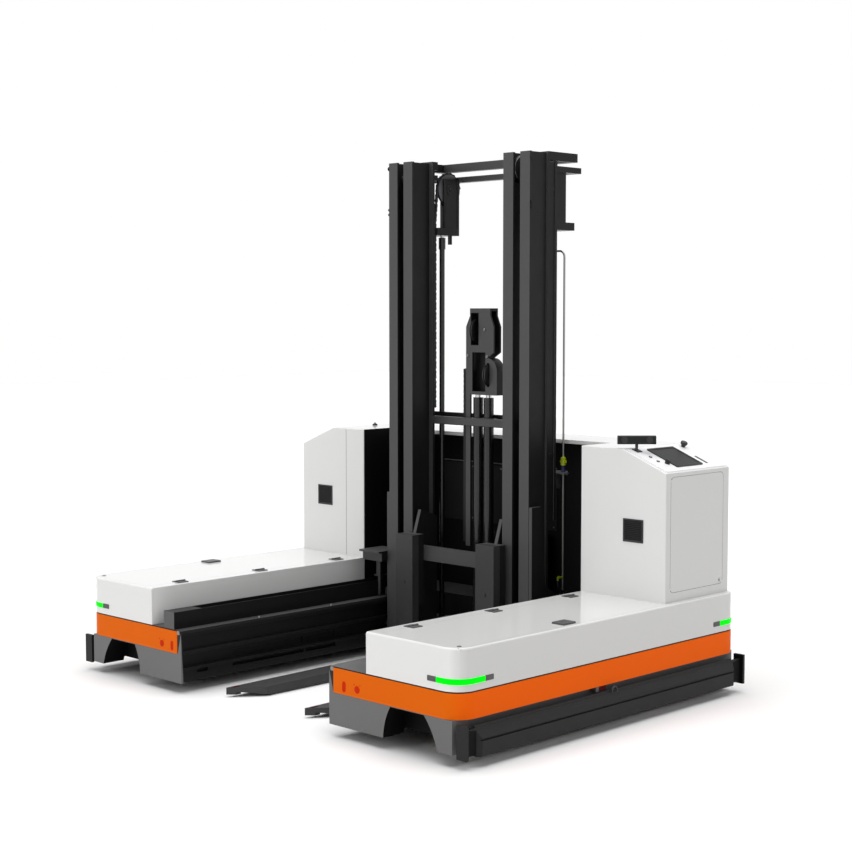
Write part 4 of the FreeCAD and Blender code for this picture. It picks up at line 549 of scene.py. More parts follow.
# --- sub-assemblies -----------------------------------------------------------------------------
@dataclass
class BodyPanels:
    """White covers and cabinets, orange bands and grey skirts."""

    nodes: dict[str, bpy.types.Object]
    plug_radius: float = 10.0
    plug_inset_x: float = 49.0
    plug_inset_y: float = 55.0
    mark_height: float = 226.0
    oval_x: dict[int, float] = field(default_factory=lambda: {1: 615.0, -1: -588.0})
    round_x: dict[int, float] = field(default_factory=lambda: {1: 696.0, -1: -668.0})
    seam_x: float = 889.0
    arch: tuple[float, float] = (842.0, 1170.0)
    arch_depth: float = 120.0
    shade_panel_margin: float = 8.0
    shade_panel_t: float = 3.0
    shade_panel_ends: tuple[float, float] = (22.0, 104.0)
    bracket_inset: tuple[float, float] = (30.0, 12.0)
    deck_screw_inset: float = 31.0
    screw_y: tuple[float, ...] = (-480.0, -8.0)
    seam_shade_reach: float = 3.0
    seam_shade_depth: float = 6.0
    key_slot: tuple[float, float] = (3.0, 12.0)
    antenna_at: tuple[float, float] = (-950.0, 700.0)
    lens_screw_step: tuple[float, float] = (18.0, 20.0)
    sensor_y: tuple[float, float] = (-86.0, -38.0)
    sensor_bracket_y: tuple[float, float] = (-108.0, -88.0)
    sensor_lap: float = 10.0
    eye_y: float = -14.0
    eye_inset: tuple[float, float] = (16.0, 13.0)
    eye_radius: float = 17.0
    eye_wire: float = 4.5
    eye_from: float = -21.6
    eye_turn: float = 216.0

    def build(self) -> None:
        """Dress the panels and add their small parts."""
        for name in ("leg_covers", "cabinet_right", "cabinet_left", "rear_housing"):
            dress(self.nodes, name, WHITE_ENAMEL)
        # The covers' bay sides take the lighter enamel: painted light.
        paint(self.nodes["leg_covers"], BAY_SIDE_LIT_ENAMEL, lambda c, n: n.x * c.x < 0 and abs(n.x) > 0.9)
        top = Extent.of("leg_covers").z1
        for side in BOTH_SIDES:
            lid = dress(self.nodes, f"leg_lid_{side_name(side)}", WHITE_ENAMEL)
            paint(lid, GREY_NYLON, lambda c, n: c.z > top + 0.2)
            self._plug(side)
            self._band_marks(side)
            self._side_sensor(side)
            self._end_bracket(side)
            self._arch_back(side)
        dress(self.nodes, "lid_hinges", GREY_NYLON, 0.6)
        self._door()
        dress(self.nodes, "side_bands", ORANGE_ENAMEL)
        skirts = dress(self.nodes, "lower_skirts", GREY_POWDER)
        band = Extent.of("side_bands")
        front = Extent.of("lower_skirts").y0
        paint(skirts, RAIL_PAINT, lambda c, n: c.z > band.z0 and n.z < 0.5)
        # The inside of the front wheel arch is painted near-black: painted shade.
        paint(skirts, BAY_SHADE_BLACK, lambda c, n: front + 1 < c.y < front + self.arch_depth + 1
              and self.arch[0] < abs(c.x) < self.arch[1])
        frame = dress(self.nodes, "chassis_frame", BLACK_POWDER)
        deck = Extent.of("chassis_frame").z1
        # The deck's top faces take the lighter mast paint: painted light for the tops that the overhead light
        # falls on.
        paint(frame, MAST_PAINT, lambda c, n: n.z > 0.9 and c.z > deck - 1)
        dress(self.nodes, "reach_rails", RAIL_PAINT, 1.2)
        dress(self.nodes, "cabinet_vents", BLACK_NYLON)
        # The bay liners are near-black as painted shade in the arches.
        dress(self.nodes, "bay_liners", BAY_SHADE_BLACK)
        self._left_cabinet_trim()

    def _door(self) -> None:
        """Cabinet door with painted shade on the edges of its gap, and its flush key latch."""
        door = dress(self.nodes, "cabinet_door", WHITE_ENAMEL)
        # The door's edges and the opening round it are painted near-black: painted shade in the gap.
        paint(door, SEAM_SHADOW, lambda c, n: abs(n.x) < 0.5)
        box = Extent.of("cabinet_door")
        grow = self.seam_shade_reach
        back = box.x0 - self.seam_shade_depth
        paint(self.nodes["cabinet_right"], SEAM_SHADOW, lambda c, n: abs(n.x) < 0.5 and c.x > back
              and box.y0 - grow < c.y < box.y1 + grow and box.z0 - grow < c.z < box.z1 + grow)
        dress(self.nodes, "door_latch", WHITE_ENAMEL)
        latch = Extent.of("door_latch")
        y, z = (latch.y0 + latch.y1) / 2, (latch.z0 + latch.z1) / 2
        half_w, half_h = self.key_slot[0] / 2, self.key_slot[1] / 2
        Blank().box(latch.x1 - 0.5, latch.x1 + 0.4, y - half_w, y + half_w, z - half_h, z + half_h).piece(
            "latch_key_slot", SEAM_SHADOW, "door_latch", 0)

    def _end_bracket(self, side: int) -> None:
        """Bright bracket at the bay end of the band's front, and the screws along the rail.

        Args:
            side: 1 for the right side, -1 for the left.
        """
        band = Extent.of("side_bands")
        rail = Extent.of("reach_rails")
        low, high = span(side, rail.x1 - self.bracket_inset[0], rail.x1 - self.bracket_inset[1])
        Blank().box(low, high, band.y0 + 0.4, band.y0 + 2, band.z1 - 14, band.z1 + 4).piece(
            f"band_end_bracket_{side_name(side)}", ZINC_PLATE, "chassis", 0.6)
        deck = Extent.of("chassis_frame").z1
        x = side * (rail.x1 - self.deck_screw_inset)
        screws = Blank()
        for y in self.screw_y:
            screws.cap_screw((x, y, deck), (0, 0, 1), 6, 9)
        screws.piece(f"deck_screws_{side_name(side)}", ZINC_PLATE, "chassis", 0)

    def _arch_back(self, side: int) -> None:
        """Near-black panel behind the front wheel arch: painted shade in the arch.

        Args:
            side: 1 for the right side, -1 for the left.
        """
        front = Extent.of("lower_skirts")
        low, high = span(side, self.arch[0] + self.shade_panel_margin, self.arch[1] - self.shade_panel_margin)
        y = front.y0 + self.arch_depth
        z0, z1 = front.z0 + self.shade_panel_ends[0], front.z1 - self.shade_panel_ends[1]
        Blank().box(low, high, y, y + self.shade_panel_t, z0, z1).piece(
            f"arch_shade_panel_{side_name(side)}", BAY_SHADE_BLACK, "chassis", 0.8)

    def _left_cabinet_trim(self) -> None:
        """Front seam and roof antenna of the left cabinet."""
        cabinet = Extent.of("cabinet_left")
        cover = Extent.of("leg_covers")
        Blank().box(-self.seam_x - 0.8, -self.seam_x + 0.8, cabinet.y0 - 0.5, cabinet.y0 + 1,
                    cover.z1 + 2, cabinet.z1 - 6).piece("left_cabinet_seam", SEAM_SHADOW, "chassis", 0)
        at = (*self.antenna_at, cabinet.z1)
        Blank().lathe([(0, 0), (14, 0), (14, 6), (11, 9), (5, 10), (4, 16), (0, 16)], at, (0, 0, 1)).piece(
            "roof_antenna", BLACK_NYLON, "chassis", 0)

    def _plug(self, side: int) -> None:
        """Blanking plug in the cover's front outer corner.

        Args:
            side: 1 for the right side, -1 for the left.
        """
        cover = Extent.of("leg_covers")
        x = side * (cover.x1 - self.plug_inset_x)
        at = (x, cover.y0 + self.plug_inset_y, cover.z1)
        r = self.plug_radius
        Blank().lathe([(0, 0), (r, 0), (r, 1.0), (r - 2, 2.0), (0, 2.0)], at, (0, 0, 1)).piece(
            f"cover_plug_{side_name(side)}", GREY_NYLON, "chassis", 0)

    def _band_marks(self, side: int) -> None:
        """Oval and round sensor lenses in the front of the band.

        Args:
            side: 1 for the right side, -1 for the left.
        """
        y = Extent.of("side_bands").y0
        z = self.mark_height
        half, rise, steps = 11.0, 12.0, 12
        outline = []
        for k in range(steps + 1):
            a = math.pi * k / steps
            outline.append((self.oval_x[side] + half * math.cos(a), y, z + rise + half * math.sin(a)))
        for k in range(steps + 1):
            a = math.pi * (1 + k / steps)
            outline.append((self.oval_x[side] + half * math.cos(a), y, z - rise + half * math.sin(a)))
        Blank().prism(outline, (0, -0.8, 0)).piece(f"oval_lens_{side_name(side)}", LENS_RED, "chassis", 0.3)
        x = self.round_x[side]
        Blank().lathe([(0, 0), (16, 0), (16, 0.6), (13, 1.2), (0, 1.6)], (x, y, z), (0, -1, 0)).piece(
            f"round_lens_{side_name(side)}", LENS_RED, "chassis", 0)
        dots = Blank()
        out, up = self.lens_screw_step
        for step in (-out, out):
            dots.lathe([(0, 0), (2.6, 0), (2.6, 0.8), (0, 1.0)], (x + step, y, z + up), (0, -1, 0), 16)
        dots.piece(f"lens_screws_{side_name(side)}", LENS_RED, "chassis", 0)

    def _side_sensor(self, side: int) -> None:
        """Dark red sensor under the band's middle, and the eye on the bumper beside it.

        Args:
            side: 1 for the right side, -1 for the left.
        """
        band = Extent.of("side_bands")
        skirt = Extent.of("lower_skirts")
        bumper = Extent.of("bumper_right")
        word = side_name(side)
        low, high = span(side, skirt.x1 - 2, band.x1)
        z0, z1 = bumper.z1 - self.sensor_lap, band.z0 - 0.5
        Blank().box(low, high, *self.sensor_y, z0, z1).piece(
            f"side_sensor_{word}", DARK_LENS, "chassis", 3, 3)
        Blank().box(low, high, *self.sensor_bracket_y, z0, z1).piece(
            f"sensor_bracket_{word}", GREY_NYLON, "chassis", 2)
        centre = Vector((side * (bumper.x1 - self.eye_inset[0]), self.eye_y, bumper.z1 - self.eye_inset[1]))
        steps = 16
        angles = [math.radians(self.eye_from + self.eye_turn * k / steps) for k in range(steps + 1)]
        eye = [centre + Vector((0, math.cos(a), math.sin(a))) * self.eye_radius for a in angles]
        sweep(Blank(), eye, self.eye_wire).piece(f"bumper_eye_{word}", BLACK_NYLON, f"bumper_{word}", 0)


def sweep(blank: Blank, path: Sequence[Vector], radius: float, sides: int = 16) -> Blank:
    """Add a round tube along a path.

    Args:
        blank: The mesh in the making.
        path: Points of the centre line.
        radius: The tube's radius.
        sides: Steps round it.

    Returns:
        The blank.
    """
    rings = []
    normal = None
    for i, point in enumerate(path):
        ahead = path[min(i + 1, len(path) - 1)] - path[max(i - 1, 0)]
        ahead.normalize()
        if normal is None:
            normal = ahead.orthogonal().normalized()
        normal = (normal - ahead * normal.dot(ahead)).normalized()
        across = ahead.cross(normal)
        ring = []
        for k in range(sides):
            a = math.tau * k / sides
            ring.append(blank.mesh.verts.new(point + (normal * math.cos(a) + across * math.sin(a)) * radius))
        rings.append(ring)
    for low, high in zip(rings, rings[1:]):
        for k in range(sides):
            n = (k + 1) % sides
            blank.mesh.faces.new((low[k], low[n], high[n], high[k]))
    blank.mesh.faces.new(rings[0][::-1])
    blank.mesh.faces.new(rings[-1])
    return blank


def smooth(points: Sequence[Vector], count: int) -> list[Vector]:
    """Draw a smooth curve through some points.

    Args:
        points: Points that it passes.
        count: Number of steps along it.

    Returns:
        The curve's points.
    """
    ends = [points[0], *points, points[-1]]
    spans = len(points) - 1
    curve = []
    for k in range(count + 1):
        t = spans * k / count
        i = min(int(t), spans - 1)
        t -= i
        a, b, c, d = ends[i:i + 4]
        curve.append(((2 * b) + (c - a) * t + (2 * a - 5 * b + 4 * c - d) * t * t
                      + (3 * b - a - 3 * c + d) * t ** 3) / 2)
    return curve


def leaf_chain(route: Sequence[Vector], x: float, pitch: float) -> Blank:
    """Make a leaf chain in a plane of constant X.

    Args:
        route: Points of its centre line.
        x: Its middle.
        pitch: Distance between pins.

    Returns:
        The blank with its link plates and pins.
    """
    chain = Blank()
    left, start, places = pitch, route[0], [route[0]]
    for end in route[1:]:
        while (end - start).length >= left:
            start = start + (end - start).normalized() * left
            places.append(start)
            left = pitch
        left -= (end - start).length
        start = end
    for number, (a, b) in enumerate(zip(places, places[1:])):
        run = (b - a).normalized()
        across = Vector((0, -run.z, run.y)) * pitch * 0.3
        a, b = a - run * pitch * 0.3, b + run * pitch * 0.3
        waist = (a + b) / 2
        outline = [a - across * 0.6, a + across * 0.6, a + run * 4 + across, waist + across * 0.75,
                   b - run * 4 + across, b + across * 0.6, b - across * 0.6, b - run * 4 - across,
                   waist - across * 0.75, a + run * 4 - across]
        for shift in (-5.2, -1.0, 3.2) if number % 2 else (-3.1, 1.1):
            chain.prism([p + Vector((x + shift, 0, 0)) for p in outline], (2, 0, 0))
    for pin in places:
        chain.bar(pin + Vector((x - 6.6, 0, 0)), pin + Vector((x + 6.6, 0, 0)), 3.2, 10)
    return chain


@dataclass
class CornerLights:
    """Green light guides round the four corners."""

    front_x: float = 1156.0
    side_length: float = 155.0
    cap_length: float = 50.0
    radius: float = 93.0
    lens_z: tuple[float, float] = (331.0, 355.0)
    cap_z: tuple[float, float] = (332.0, 355.5)
    lens_crown: float = 4.0
    cap_crown: float = 7.0
    depth: float = 2.6
    steps: int = 20

    def build(self) -> None:
        """Build the crowned lenses and their capped ends in place of the plain strips."""
        lenses, caps = Blank(), Blank()
        for side in BOTH_SIDES:
            for end in BOTH_SIDES:
                route = self._corner(side, end)
                self._strip(lenses, route[1:-1], self.lens_z, self.lens_crown)
                self._strip(caps, route[:2], self.cap_z, self.cap_crown)
                self._strip(caps, route[-2:], self.cap_z, self.cap_crown)
        made = lenses.piece("corner_light_guides", GREEN_LAMP, "chassis", 0, crease=60)
        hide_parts("corner_light_lenses")
        made = caps.piece("corner_light_caps", GREY_NYLON, "chassis", 1.2)
        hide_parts("corner_light_ends")

    def _corner(self, side: int, end: int) -> list[tuple[Vector, Vector]]:
        """Trace a corner's outer face.

        Args:
            side: 1 for the right side, -1 for the left.
            end: 1 for the front, -1 for the rear.

        Returns:
            Points round the corner, each with its outward direction.
        """
        box = Extent.of("corner_light_lenses")
        edge_x, edge_y = box.x1, box.y0
        turn_x, turn_y = edge_x - self.radius, edge_y + self.radius
        stop_y = edge_y + self.side_length
        front, flank = Vector((0, -1, 0)), Vector((1, 0, 0))
        route = [(Vector((self.front_x - self.cap_length, edge_y, 0)), front),
                 (Vector((self.front_x, edge_y, 0)), front)]
        for k in range(self.steps + 1):
            a = math.pi / 2 * k / self.steps
            out = Vector((math.sin(a), -math.cos(a), 0))
            route.append((Vector((turn_x, turn_y, 0)) + out * self.radius, out))
        route += [(Vector((edge_x, stop_y, 0)), flank),
                  (Vector((edge_x, stop_y + self.cap_length, 0)), flank)]
        mirror = Vector((side, end, 1))
        return [(point * mirror, out * mirror) for point, out in route]

    def _strip(self, blank: Blank, route: Sequence[tuple[Vector, Vector]], heights: tuple[float, float],
               crown: float) -> None:
        """Add a strip with a crowned face along a route.

        Args:
            blank: The mesh in the making.
            route: Points of its outer face with their outward directions.
            heights: Lower and upper edge.
            crown: How far its face is rounded, measured from the edges.
        """
        z0, z1 = heights
        profile = [(self.depth, z0), (self.depth * 0.35, z0 + crown * 0.25), (0, z0 + crown), (0, z1 - crown),
                   (self.depth * 0.35, z1 - crown * 0.25), (self.depth, z1)]
        rings = [[blank.mesh.verts.new(point - out * inset + Vector((0, 0, z))) for inset, z in profile]
                 for point, out in route]
        count = len(profile)
        for near, far in zip(rings, rings[1:]):
            for k in range(count):
                n = (k + 1) % count
                blank.mesh.faces.new((near[k], near[n], far[n], far[k]))
        blank.mesh.faces.new(rings[0][::-1])
        blank.mesh.faces.new(rings[-1])


@dataclass
class Console:
    """Console plate, screen, controls and scanner."""

    nodes: dict[str, bpy.types.Object]
    plate_t: float = 4.0
    reader_u: tuple[float, float] = (139.0, 206.0)
    reader_v: float = 806.0
    scanner_depth: float = 32.0
    window_step: float = 58.0

    def build(self) -> None:
        """Dress the console."""
        dress(self.nodes, "console_panel", CONSOLE_POWDER)
        screen = dress(self.nodes, "touch_screen", BLACK_NYLON, 0.8)
        paint(screen, SCREEN_GLASS, lambda c, n: n.z > 0.8)
        dress(self.nodes, "emergency_stop", BLACK_NYLON)
        dress(self.nodes, "selector_knob", BLACK_NYLON, 0.6)
        for name in ("start_button", "reset_button"):
            button = dress(self.nodes, name, BLACK_NYLON)
            paint(button, BUTTON_CAP, lambda c, n: n.z > 0.8)
        dress(self.nodes, "scanner_stalk", BLACK_NYLON, 0.6)
        scanner = dress(self.nodes, "scanner_bar", BLACK_NYLON)
        paint(scanner, SCREEN_GLASS, lambda c, n: n.x > 0.5 and n.y < -0.5)
        self._scanner_windows()
        self._reader()

    def _slope(self, u: float, v: float, height: float) -> Vector:
        """Place of a point on the console.

        Args:
            u: Distance down the slope from the plate's upper edge.
            v: Y of the point.
            height: Distance above the plate.

        Returns:
            The point in the truck's frame.
        """
        plate = Extent.of("console_panel")
        angle = 0.0
        for _ in range(8):
            angle = math.atan2(plate.z1 - plate.z0 - self.plate_t * math.cos(angle),
                               plate.x1 - plate.x0 - self.plate_t * math.sin(angle))
        down = Vector((math.cos(angle), 0, -math.sin(angle)))
        up = Vector((math.sin(angle), 0, math.cos(angle)))
        start = Vector((plate.x0 + self.plate_t * math.sin(angle), v, plate.z1))
        return start + down * u + up * height

    def _reader(self) -> None:
        """Card slot in the console, with its raised surround."""
        u0, u1 = self.reader_u
        for name, finish, grow, height in (("card_reader_rim", GREY_NYLON, 4.0, 1.4),
                                           ("card_reader_slot", SEAM_SHADOW, 0.0, 1.8)):
            u_low, u_high = u0 - grow, u1 + grow
            v_low, v_high = self.reader_v - 3 - grow, self.reader_v + 3 + grow
            outline = [self._slope(u, v, -0.5) for u, v in (
                (u_low, v_low), (u_high, v_low), (u_high, v_high), (u_low, v_high))]
            rise = self._slope(u_low, v_low, height) - outline[0]
            Blank().prism(outline, rise).piece(name, finish, "chassis", 0.4)

    def _scanner_windows(self) -> None:
        """Two round windows in the scanner's near face."""
        box = Extent.of("scanner_bar")
        centre = Vector(((box.x0 + box.x1) / 2, (box.y0 + box.y1) / 2, (box.z0 + box.z1) / 2))
        along, out = Vector((1, 1, 0)).normalized(), Vector((1, -1, 0)).normalized()
        windows = Blank()
        for step in (-self.window_step, self.window_step):
            at = centre + along * step + out * (self.scanner_depth / 2 - 1)
            windows.lathe([(0, 0), (15, 0), (15, 2.5), (12, 3.5), (11, 2.2), (0, 3.0)], at, out, 32)
        windows.piece("scanner_windows", BLACK_NYLON, "scanner", 0)


@dataclass
class RearBay:
    """What stands between the cabinets behind the mast."""

    nodes: dict[str, bpy.types.Object]
    panels: tuple[tuple[float, float], ...] = ((-672.0, -470.0), (-440.0, -200.0), (-170.0, 170.0))
    panel_z: tuple[float, float] = (660.0, 976.0)
    panel_t: float = 5.0
    screw_inset: float = 18.0
    wall_t: float = 4.0
    strip_z: tuple[float, float] = (982.0, 988.0)
    strip_t: float = 8.0

    def build(self) -> None:
        """Dress the bay."""
        housing = self.nodes["rear_housing"]
        shell = Extent.of("rear_housing")
        # Painted shade: the housing's faces below its top, except its front, and the cabinets' faces into the
        # bay go near-black.
        paint(housing, BAY_SHADE_BLACK, lambda c, n: n.z < 0.5 and n.y < 0.5 and c.z < shell.z1 - 1
              and not (n.y < -0.5 and c.y < shell.y0 + 1))
        for name in ("cabinet_right", "cabinet_left"):
            paint(self.nodes[name], BAY_SHADE_BLACK, self._faces_bay)
        dress(self.nodes, "pump_unit", CYLINDER_PAINT, 1.5)
        dress(self.nodes, "battery_pack", BATTERY_CASE, 1.5)
        dress(self.nodes, "controller_box", BEAD_BLASTED)
        self._wall_panels()

    def _wall_panels(self) -> None:
        """Access panels on the bay's rear wall, with the trim strip above them."""
        wall = Extent.of("rear_housing").y1 - self.wall_t
        face = wall - self.panel_t
        z0, z1 = self.panel_z
        for number, (x0, x1) in enumerate(self.panels):
            plate = Blank().box(x0, x1, face, wall, z0, z1)
            plate.piece(f"rear_access_panel_{number + 1}", BLACK_POWDER, "chassis", 1.5)
            screws = Blank()
            for x in (x0 + self.screw_inset, x1 - self.screw_inset):
                for z in (z0 + self.screw_inset, z1 - self.screw_inset):
                    screws.cap_screw((x, face, z), (0, -1, 0), 5, 4)
            screws.piece(f"rear_panel_screws_{number + 1}", ZINC_PLATE, "chassis", 0)
        strip = Blank().box(self.panels[0][0], self.panels[-1][1], wall - self.strip_t, wall, *self.strip_z)
        strip.piece("rear_trim_strip", GREY_POWDER, "chassis", 1.0)

    @staticmethod
    def _faces_bay(centre: Vector, normal: Vector) -> bool:
        """Whether a cabinet face looks into the bay or the cabinet, and so takes the painted shade."""
        outer_wall = Extent.of("cabinet_left").x1
        return abs(centre.x) < -outer_wall + 0.5 and normal.x * centre.x < 0


@dataclass
class Mast:
    """Both stages with their cylinders, chains and rollers."""

    nodes: dict[str, bpy.types.Object]
    chain_w: float = 18.5
    pitch: float = 25.4
    block_front: float = 559.0
    upright_depth: float = 145.0
    post_y: float = 549.0
    shade_sheet_z: tuple[float, float] = (782.0, 2512.0)
    shade_sheet_inset: tuple[float, float] = (8.0, 5.0)
    shade_sheet_lap: float = 2.0
    post_start: float = 200.0
    chain_foot: float = 1290.0
    pipe_x: float = 485.0
    pipe_y: float = 612.0
    line_bracket_z: tuple[float, float] = (925.0, 1012.0)
    collar_z: tuple[float, float] = (1012.0, 1045.0)
    coupling_z: tuple[float, float] = (1045.0, 1082.0)
    wing_z: tuple[float, float] = (1058.0, 1069.0)
    branch_out: float = 37.0
    hose_radius: float = 6.0
    head_screws: tuple[tuple[float, float], ...] = ((32.0, 107.0), (49.0, 243.0), (-84.0, 240.0))
    bolt_drops: tuple[float, float] = (238.0, 262.0)
    lug_drop: float = 28.0

    def build(self) -> None:
        """Dress the mast."""
        for name in ("outer_mast", "inner_mast", "jack_head", "reach_frame", "fork_carriage"):
            made = dress(self.nodes, name, MAST_PAINT, 1.2)
            # Sideways faces of the mast parts take the painted shade.
            paint(made, MAST_SHADE_STEEL, lambda c, n: abs(n.x) > 0.7)
        upright = Extent.of("outer_mast")
        posts = upright.y0 + self.post_start
        paint(self.nodes["outer_mast"], BLACK_POWDER, lambda c, n: c.y > posts and abs(n.x) < 0.7)
        head = Extent.of("jack_head")
        chain_edge = head.x0 + self.chain_w
        paint(self.nodes["jack_head"], CHAIN_STEEL, lambda c, n: c.x < chain_edge)
        # The jack head's recessed faces behind its front plate take the painted shade.
        paint(self.nodes["jack_head"], MAST_SHADE_STEEL, lambda c, n: c.y > head.y0 + 4 and c.z < head.z1 - 6
              and c.x > chain_edge)
        self._post_shade_sheets()
        self._side_chains()
        self._head_bolts()
        self._upright_bolts()
        for name in ("lift_cylinders", "jack_barrels"):
            dress(self.nodes, name, CYLINDER_PAINT)
        for name in ("lift_rods", "jack_rods"):
            dress(self.nodes, name, HARD_CHROME)
        rollers = ("side_sheaves", "upper_jack_sheave", "lower_jack_sheave", "mast_head_rollers",
                   "mast_foot_rollers", "carriage_rollers_lower", "carriage_rollers_upper",
                   "reach_rollers_front", "reach_rollers_rear")
        for name in rollers:
            dress(self.nodes, name, ROLLER_STEEL)
        line = dress(self.nodes, "hydraulic_line", ZINC_PLATE)
        pipe = self.pipe_x
        (foot, neck), (_, shoulder), (_, top) = self.line_bracket_z, self.collar_z, self.coupling_z
        paint(line, BEAD_BLASTED, lambda c, n: foot < c.z < neck and abs(c.x - pipe) > 6)
        paint(line, FITTING_BLUE, lambda c, n: neck < c.z < shoulder and abs(c.x - pipe) < 10)
        paint(line, FITTING_GREEN, lambda c, n: shoulder < c.z < top and abs(c.x - pipe) < 14)
        self._coupling()
        self._branch()
        for name in ("fork_right", "fork_left"):
            dress(self.nodes, name, FORK_PAINT, 1.5)
            self._tip_window(name)

    def _side_chains(self) -> None:
        """Leaf chains that run down from the side sheaves, ahead of the lift blocks."""
        box = Extent.of("side_sheaves")
        centre_y, centre_z = (box.y0 + box.y1) / 2, (box.z0 + box.z1) / 2
        radius = (box.z1 - box.z0) / 2 + 3
        block_front = self.block_front
        route = [Vector((0, centre_y + radius * math.cos(a), centre_z + radius * math.sin(a)))
                 for a in (math.radians(d) for d in range(10, 181, 10))]
        top = route[-1]
        route.append(Vector((0, block_front, top.z - 170)))
        route.append(Vector((0, block_front, self.chain_foot)))
        for side in BOTH_SIDES:
            x = side * (box.x1 - 7)
            leaf_chain(route, x, self.pitch).piece(
                f"side_chain_{side_name(side)}", CHAIN_STEEL, "mast_stage", 0)

    def _post_shade_sheets(self) -> None:
        """Sheets in the painted shade that fill the gap between each upright and its rear post, where there
        is only shade.
        """
        mast = Extent.of("outer_mast")
        front = mast.y0 + self.upright_depth - self.shade_sheet_lap
        for side in BOTH_SIDES:
            x0, x1 = span(side, mast.x1 - self.shade_sheet_inset[0], mast.x1 - self.shade_sheet_inset[1])
            Blank().box(x0, x1, front, self.post_y, *self.shade_sheet_z).piece(
                f"post_shade_sheet_{side_name(side)}", MAST_SHADE_STEEL, "reach_carriage", 0.5)

    def _head_bolts(self) -> None:
        """Screws in the jack head's front plate."""
        head = Extent.of("jack_head")
        bolts = Blank()
        for x, drop in self.head_screws:
            bolts.cap_screw((x, head.y0, head.z1 - drop), (0, -1, 0), 7, 5)
        bolts.piece("jack_head_screws", ZINC_PLATE, "jack", 0)

    def _upright_bolts(self) -> None:
        """Bolts and lug on the outer faces of the uprights."""
        mast = Extent.of("outer_mast")
        y, lug_z = mast.y0 + 8, mast.z1 - self.lug_drop
        for side in BOTH_SIDES:
            x = side * mast.x1
            bolts = Blank()
            for drop in self.bolt_drops:
                bolts.hex_bolt((x, y, mast.z1 - drop), (side, 0, 0), 12, 9)
            bolts.bar((x, y, lug_z), (x + side * 7, y, lug_z), 11)
            # The bolts take the painted shade of the uprights' sides.
            bolts.piece(f"upright_bolts_{side_name(side)}", MAST_SHADE_STEEL, "reach_carriage", 0)

    def _coupling(self) -> None:
        """Quick coupling at the pipe's union, with its bracket."""
        x, y = self.pipe_x, self.pipe_y
        profile = [(0, 1077), (9, 1077), (11, 1080), (11, 1084), (6, 1087), (5, 1091), (0, 1091)]
        Blank().lathe(profile, (x, y, 0), (0, 0, 1), 28).piece(
            "coupling_cap", FITTING_GREEN, "reach_carriage", 0)
        wings = Blank().box(x - 19, x + 19, y - 4, y + 4, *self.wing_z)
        wings.piece("coupling_wings", FITTING_GREEN, "reach_carriage", 2)
        plate = Blank().box(x - 58, x + 20, y + 7, y + 10, 998, 1018)
        plate.box(x - 58, x - 33, y + 7, y + 10, 935, 1000)
        plate.box(x - 16, x + 20, y - 12, y + 8, 1008, 1011)
        plate.piece("coupling_bracket", BEAD_BLASTED, "reach_carriage", 0.8)

    def _branch(self) -> None:
        """Small branch fitting low on the pipe, and the short hose from it to the rigid line."""
        line = Extent.of("hydraulic_line")
        x, y = self.pipe_x, self.pipe_y
        out = y - self.branch_out
        branch = Blank().bar((x, y, 492), (x, y - 40, 494), 5).bar((x, y - 26, 494), (x, y - 33, 494), 8, 6)
        branch.bar((x, out, 496), (x, out, 478), 5.5)
        branch.piece("branch_fitting", FITTING_GREEN, "reach_carriage", 0)
        hose = [Vector((x, out, 479)), Vector((x + 1, out + 1, 455)), Vector((x + 2, y - 20, 432)),
                Vector((x, line.y1 - 24, 418))]
        sweep(Blank(), smooth(hose, 24), self.hose_radius).piece(
            "branch_hose", HOSE_RUBBER, "reach_carriage", 0)

    def _tip_window(self, name: str) -> None:
        """Small sensor window in a fork's tip.

        Args:
            name: The fork's node.
        """
        fork = Extent.of(name)
        Blank().box(fork.x0 + 6, fork.x0 + 24, fork.y0 + 26, fork.y0 + 60, 44, 47.5).piece(
            f"{name}_tip_window", DARK_LENS, "fork_carriage", 1)


@dataclass
class RunningGear:
    """Wheels, steering units, bumpers and the cable trough."""

    nodes: dict[str, bpy.types.Object]
    end_recess: float = 72.0
    end_plate: float = 15.0
    tyre_t: float = 24.0

    def build(self) -> None:
        """Dress the running gear."""
        for end in ("front", "rear"):
            for side in BOTH_SIDES:
                dress(self.nodes, f"steer_unit_{end}_{side_name(side)}", BLACK_POWDER, 1.0)
                name = f"wheel_{end}_{side_name(side)}"
                wheel = dress(self.nodes, name, TYRE)
                box = Extent.of(name)
                axle = Vector((0, (box.y0 + box.y1) / 2, (box.z0 + box.z1) / 2))
                hub = (box.z1 - box.z0) / 2 - self.tyre_t
                paint(wheel, BLACK_POWDER, lambda c, n, a=axle, r=hub: math.hypot(c.y - a.y, c.z - a.z) < r)
        reach = Extent.of("bumper_right").y1
        for side in BOTH_SIDES:
            rubber = dress(self.nodes, f"bumper_{side_name(side)}", BUMPER_RUBBER, 1.0)
            # Painted shade: the recess at each bumper's rear end and its end face go near-black.
            paint(rubber, BAY_SHADE_BLACK, lambda c, n: reach - self.end_recess < abs(c.y) < reach - self.end_plate
                  and abs(n.y) < 0.5)
            paint(rubber, BAY_SHADE_BLACK, lambda c, n: c.y > reach - self.end_plate - 1 and n.y < -0.5)
        trough = dress(self.nodes, "chain_trough", RAIL_PAINT, 1.0)
        front = Extent.of("chain_trough").y0
        paint(trough, GREY_NYLON, lambda c, n: c.y < front + 1 and n.y < -0.9)


